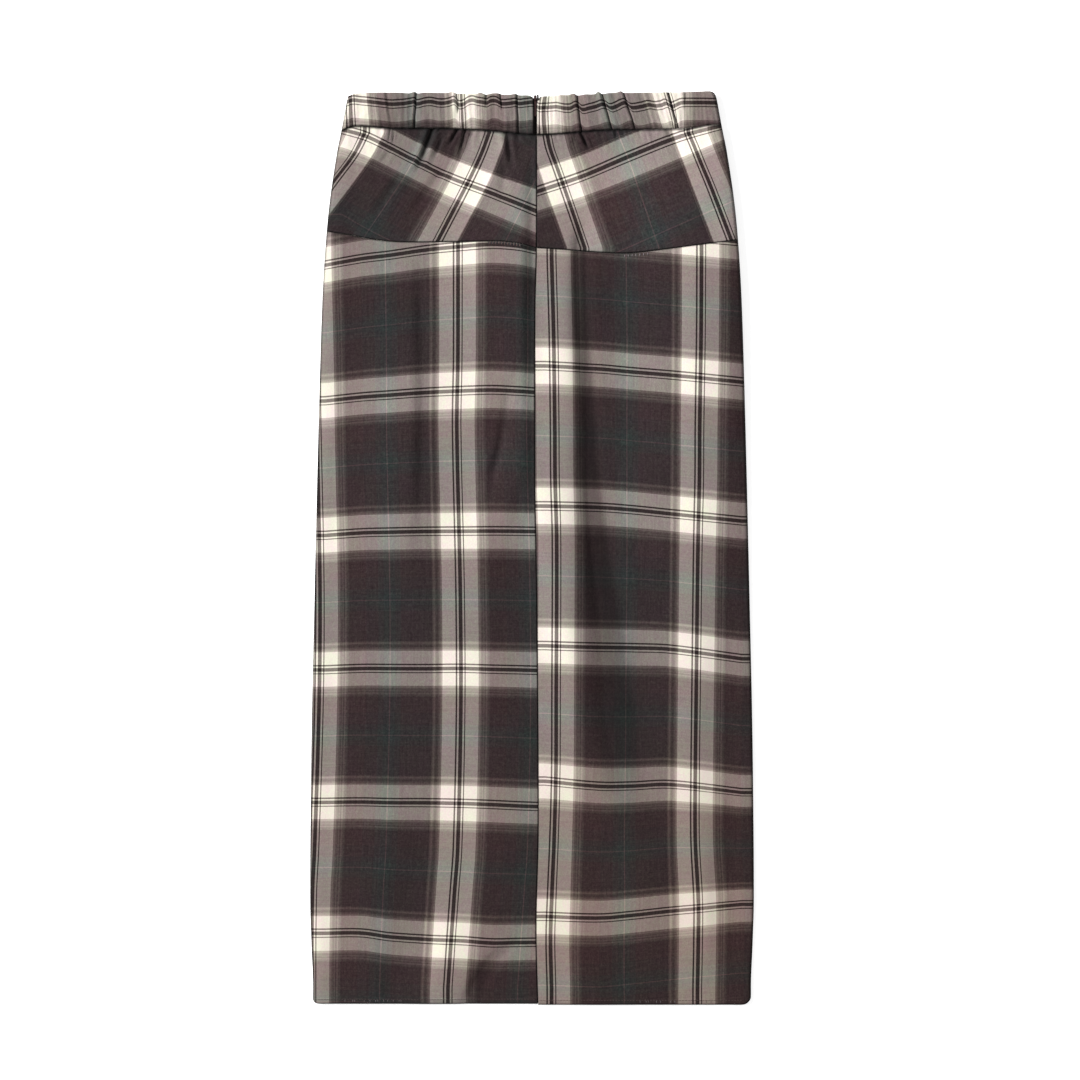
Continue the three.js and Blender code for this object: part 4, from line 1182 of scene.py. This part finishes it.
# Where the pull turns. The bridge's sizes are taken from there.
pivot = {"y": 448.6, "z": 5.3}
bridge = {"width": 1.0, "opening": 0.87, "outer": 1.47, "rise": 1.57, "sunk": 0.2}
enamel_dark = (0.030, 0.012, 0.012, 1)
enamel_worn = (0.058, 0.024, 0.023, 1)
enamel_roughness = 0.28
wear_roughness = 0.2
enamel, enamel_tree, enamel_shader = new_material("zip_metal")
enamel_place = add_node(enamel_tree, "ShaderNodeTexCoord")
wear = add_node(
    enamel_tree, "ShaderNodeTexNoise", Vector=enamel_place.outputs["Object"], Scale=350.0, Detail=3.0
)
enamel_tone = mix_colour(enamel_tree, "MIX", wear.outputs["Fac"], enamel_dark, enamel_worn)
enamel_tree.links.new(enamel_tone, enamel_shader.inputs["Base Color"])
gloss = maths(enamel_tree, "MULTIPLY_ADD", wear.outputs["Fac"], wear_roughness, enamel_roughness)
enamel_tree.links.new(gloss, enamel_shader.inputs["Roughness"])
enamel_shader.inputs["Metallic"].default_value = 0.15


def extrude_outline(build, loops, low, high, lay):
    """Fills closed outlines, with holes, and extrudes them. lay turns (u, v, w) into (x, y, z)."""
    edges = []
    for loop in loops:
        verts = [build.verts.new(Vector(lay(u, v, low)) * MM) for u, v in loop]
        edges += [build.edges.new((a, b)) for a, b in zip(verts, verts[1:] + verts[:1])]
    faces = bmesh.ops.triangle_fill(build, edges=edges, use_beauty=True)["geom"]
    faces = [item for item in faces if isinstance(item, bmesh.types.BMFace)]
    made = bmesh.ops.extrude_face_region(build, geom=faces, use_keep_orig=True)["geom"]
    shift = Vector(lay(0, 0, high)) * MM - Vector(lay(0, 0, low)) * MM
    for item in made:
        if isinstance(item, bmesh.types.BMVert):
            item.co += shift


def metal_piece(name, node, body, build, edge):
    """Finishes a piece of the zip's metal, with its edges rounded."""
    bmesh.ops.recalc_face_normals(build, faces=build.faces)
    piece = make_piece(build, name, enamel)
    soften(piece, edge)
    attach(piece, body)
    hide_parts(node)


def arc(centre_u, centre_v, radius_u, radius_v, start, end, count):
    """Points round part of an ellipse."""
    return [
        (centre_u + radius_u * math.cos(math.radians(a)), centre_v + radius_v * math.sin(math.radians(a)))
        for a in np.linspace(start, end, count)
    ]


build = bmesh.new()
half = slider["width"] / 2
nose, tail = plate_round["nose"], plate_round["tail"]
plate = arc(zip_x, slider["nose"] - nose, half, nose, start=0, end=180, count=13)
plate += arc(zip_x, slider["tail"] + tail, half, tail, start=180, end=360, count=13)
top_of_plate = slider["under"] + slider["thickness"]
extrude_outline(build, [plate], slider["under"], top_of_plate, lambda u, v, w: (u, v, w))
foot = top_of_plate - pivot["z"] - bridge["sunk"]
inner, outer = bridge["opening"], bridge["outer"]
arch = [(-outer, foot), (-inner, foot), (-inner, inner), (inner, inner), (inner, foot), (outer, foot)]
arch += [(outer, inner), (inner, bridge["rise"]), (-inner, bridge["rise"]), (-outer, inner)]
extrude_outline(
    build, [arch], -bridge["width"] / 2, bridge["width"] / 2,
    lambda u, v, w: (zip_x + w, pivot["y"] + u, pivot["z"] + v),
)
metal_piece("zip_slider_metal", "zip_slider", "skirt", build, slider["edge"])


# ---- The pull tab of the zip ----------------------------------------------------------------
# A narrow enamelled tab with an eye at its top, whose cross bar turns under the slider's bridge.
# It lies down the zip, and lifts and turns over the waistband's top.

pull = {"bar": 0.4, "eye": 0.8, "arm": 0.4, "arms": 2.3, "neck": 0.95, "half": 1.3, "length": 17.5}
# How far below its arms the shoulders and the neck begin, and how far down from the pivot the neck
# ends and the blade has reached its own half width.
shoulder_drop = 0.6
neck_drop = 1.9
neck_end = 5.2
blade = {"half": 1.12, "down": 9.0}
pull_edge = 0.3

build = bmesh.new()
shoulder = pull["eye"] + pull["arm"]
flank = [(shoulder, pull["bar"]), (shoulder, -pull["arms"] - shoulder_drop)]
flank += [(pull["neck"], -pull["arms"] - neck_drop), (pull["neck"], -neck_end)]
flank += [(blade["half"], -blade["down"])]
tip_y = pull["bar"] - pull["length"] + pull["half"]
tip = arc(0, tip_y, pull["half"], pull["half"], start=0, end=-180, count=15)
tab = flank + tip + [(-u, v) for u, v in flank[::-1]]
eye = [(pull["eye"], -pull["bar"]), (pull["eye"], -pull["arms"]), (-pull["eye"], -pull["arms"])]
eye += [(-pull["eye"], -pull["bar"])]
extrude_outline(
    build, [tab, eye], -pull["bar"], pull["bar"],
    lambda u, v, w: (zip_x + u, pivot["y"] + v, pivot["z"] + w),
)
metal_piece("zip_pull_metal", "zip_pull", "zip_pull", build, pull_edge)


# ---- The front ------------------------------------------------------------------------------
# What the skirt lies on: one plain panel and a flat waistband, pressed against the table. Their
# sides turn up to the side seams.

front_seam = 418
front_hem = -455.5
# Where the check lies on it: the middle of a cream band each way.
front_warp_x = -21
front_weft_y = 158
# Degrees round each side, and the columns between them as a share of the half width.
front_turns = (0, 15, 30, 45, 60, 75, 90)
front_column = 0.02
front_top = {"x": (-186, -60, -16, 3, 22, 70, 186), "y": (453, 452.5, 450, 448.5, 449.5, 453, 454)}


def front_piece(name, node, rows, lower, upper, thickness, round_corners):
    """A flat piece, plain underneath, whose two sides turn up."""
    plain = steps(-1, 1, front_column)[1:-1]
    ends = np.ones(len(front_turns))
    share = np.concatenate([-ends, plain, ends])[None, :]
    turn = np.concatenate([front_turns, np.full(len(plain), 90), front_turns[::-1]])
    turn = np.radians(turn)[None, :]
    row_share, row_inset = (np.array(part, float)[:, None] for part in rows)
    x = share * 190.0 + 0 * row_share
    for _ in range(4):
        low, high = lower(x), upper(x)
        y = low + (high - low) * row_share + row_inset
        side = curve(y, side_line, "y", "half")
        if round_corners:
            radius = np.where(share < 0, hem_corner[-1], hem_corner[1])
            side = side - round_off(y - low, radius)
        x = share * (side - side_roll * (1 - np.cos(turn)))
    edge = curve(y, side_seam_level, "y", "z") - seam_gap / 2
    z = edge * (1 - np.sin(turn))
    threads = (x - front_warp_x, as_repeats(front_weft_y - y))
    piece = mesh_piece(name, [(x, y, z)], [threads], x * 0, plaid, node, -thickness)
    return piece


front_piece(
    "panel_front_cloth",
    "panel_front",
    piece_rows(height=873, spacing=6.0, low_steps=(0, 0.5, 1.5, 3, 5, 7, 9), high_steps=(3, 1, 0)),
    lower=lambda x: np.full_like(x, front_hem),
    upper=lambda x: np.full_like(x, front_seam - seam_gap / 2),
    thickness=1.0,
    round_corners=True,
)
front_piece(
    "waistband_front_cloth",
    "waistband_front",
    piece_rows(height=35, spacing=4.0, low_steps=(0, 1, 3), high_steps=(3, 1, 0)),
    lower=lambda x: np.full_like(x, front_seam + seam_gap / 2),
    upper=lambda x: curve(x, front_top, "x", "y"),
    thickness=1.8,
    round_corners=False,
)


# ---- Sewing that shows ----------------------------------------------------------------------
# Brown thread catches the turned hem in short stitches. Loops of overlocking show in places below
# it and along the yoke seams, some dark and some pale against the cloth.

hem_stitch = {"length": 2.2, "pitch": 2.9, "thick": 0.42, "waver": 0.15}
hem_stitch_ends = {-1: (-213, 2), 1: (9, 209)}
# Each run of loops: its thread, the panel it is on, its two ends, its pitch, how far its loops'
# middles lie from the panel's edge, their length, and whether they hang from the yoke seam or
# show at the hem, where some are missing.
loop_runs = {
    "thread": ("dark", "brown", "pale", "pale", "pale", "brown"),
    "hand": (-1, -1, 1, -1, 1, 1),
    "start": (-43.5, -42.0, 92.5, -187.0, 104.0, 172.0),
    "end": (-11.0, -12.5, 115.5, -131.0, 145.0, 179.0),
    "pitch": (3.0, 3.0, 3.6, 1.9, 2.0, 2.2),
    "inset": (1.7, 1.9, 2.6, 3.2, 3.2, 3.0),
    "length": (3.6, 2.8, 2.8, 2.4, 2.4, 2.4),
    "from_yoke": (True, True, True, False, False, False),
}
loop_thick = {"yoke": 1.1, "hem": 0.5}
loop_waver = {"aside": 0.5, "inset": 0.4, "lean": 0.12, "length": 0.5}
missing_below = 0.04
thread_colours = {
    "brown": (0.042, 0.021, 0.019),
    "dark": (0.006, 0.003, 0.004),
    "pale": (0.085, 0.070, 0.074),
}


def add_stitch(build, middle, half, thick):
    """A short bead of thread from one side of its middle to the other, half sunk in the cloth."""
    turn = half.to_track_quat("X", "Z").to_matrix().to_4x4()
    shape = Matrix.Diagonal((half.length * 2 * MM, thick * MM, thick * 0.7 * MM, 1))
    place = Matrix.Translation(middle * MM)
    bmesh.ops.create_icosphere(build, subdivisions=2, radius=0.5, matrix=place @ turn @ shape)


def on_panel(hand, x, inset, from_top):
    """The point of a panel's upper face at a place across it and a distance in from an edge."""
    places, levels, heights = panel_surface[hand]
    order = np.argsort(places[0], kind="stable")
    edge = curve(x, yoke_seam[hand], "x", "y") - inset if from_top else hem_line[hand] + inset
    found = [float(np.interp(edge, levels[:, c], heights[:, c])) for c in order]
    spots = [float(np.interp(edge, levels[:, c], places[:, c])) for c in order]
    return Vector((x, float(edge), float(np.interp(x, spots, found))))


sewing = {colour: bmesh.new() for colour in thread_colours}
for hand, ends in hem_stitch_ends.items():
    for x in steps(*ends, hem_stitch["pitch"]):
        waver = hem_stitch["waver"] * noise.noise((x, 0.0, 31.0))
        middle = on_panel(hand, x, hem["stitch_line"] + waver, from_top=False)
        half = Vector((hem_stitch["length"] / 2, 0, 0))
        add_stitch(sewing["brown"], middle, half, hem_stitch["thick"])
for colour, hand, start, end, pitch, inset, length, from_yoke in zip(*loop_runs.values()):
    for x in steps(start, end, pitch):
        if not from_yoke and noise.noise((x * 0.3, 9.0, 37.0)) < missing_below:
            continue
        shift = loop_waver["aside"] * noise.noise((x * 3, 1.0, 33.0))
        middle = on_panel(hand, x + shift, inset + loop_waver["inset"] * shift, from_top=from_yoke)
        size_change = 1 + loop_waver["length"] * noise.noise((x * 2, 5.0, 35.0))
        half = Vector((loop_waver["lean"] * shift, length / 2 * size_change, 0))
        add_stitch(sewing[colour], middle, half, loop_thick["yoke" if from_yoke else "hem"])
for colour, build in sewing.items():
    thread, thread_tree, thread_shader = new_material(f"{colour}_thread")
    spun = add_node(thread_tree, "ShaderNodeTexCoord")
    twist = add_node(
        thread_tree, "ShaderNodeTexNoise", Vector=spun.outputs["Object"], Scale=900.0, Detail=2.0
    )
    tone = thread_colours[colour]
    light_tone = tuple(1.5 * value for value in tone)
    spun_tone = mix_colour(thread_tree, "MIX", twist.outputs["Fac"], (*tone, 1), (*light_tone, 1))
    thread_tree.links.new(spun_tone, thread_shader.inputs["Base Color"])
    thread_shader.inputs["Roughness"].default_value = 0.7
    stitches = make_piece(build, f"{colour}_stitches", thread)
    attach(stitches, "skirt")

size = {"cad": [list(cad_low), list(cad_high)], "visual": [list(corner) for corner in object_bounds()]}
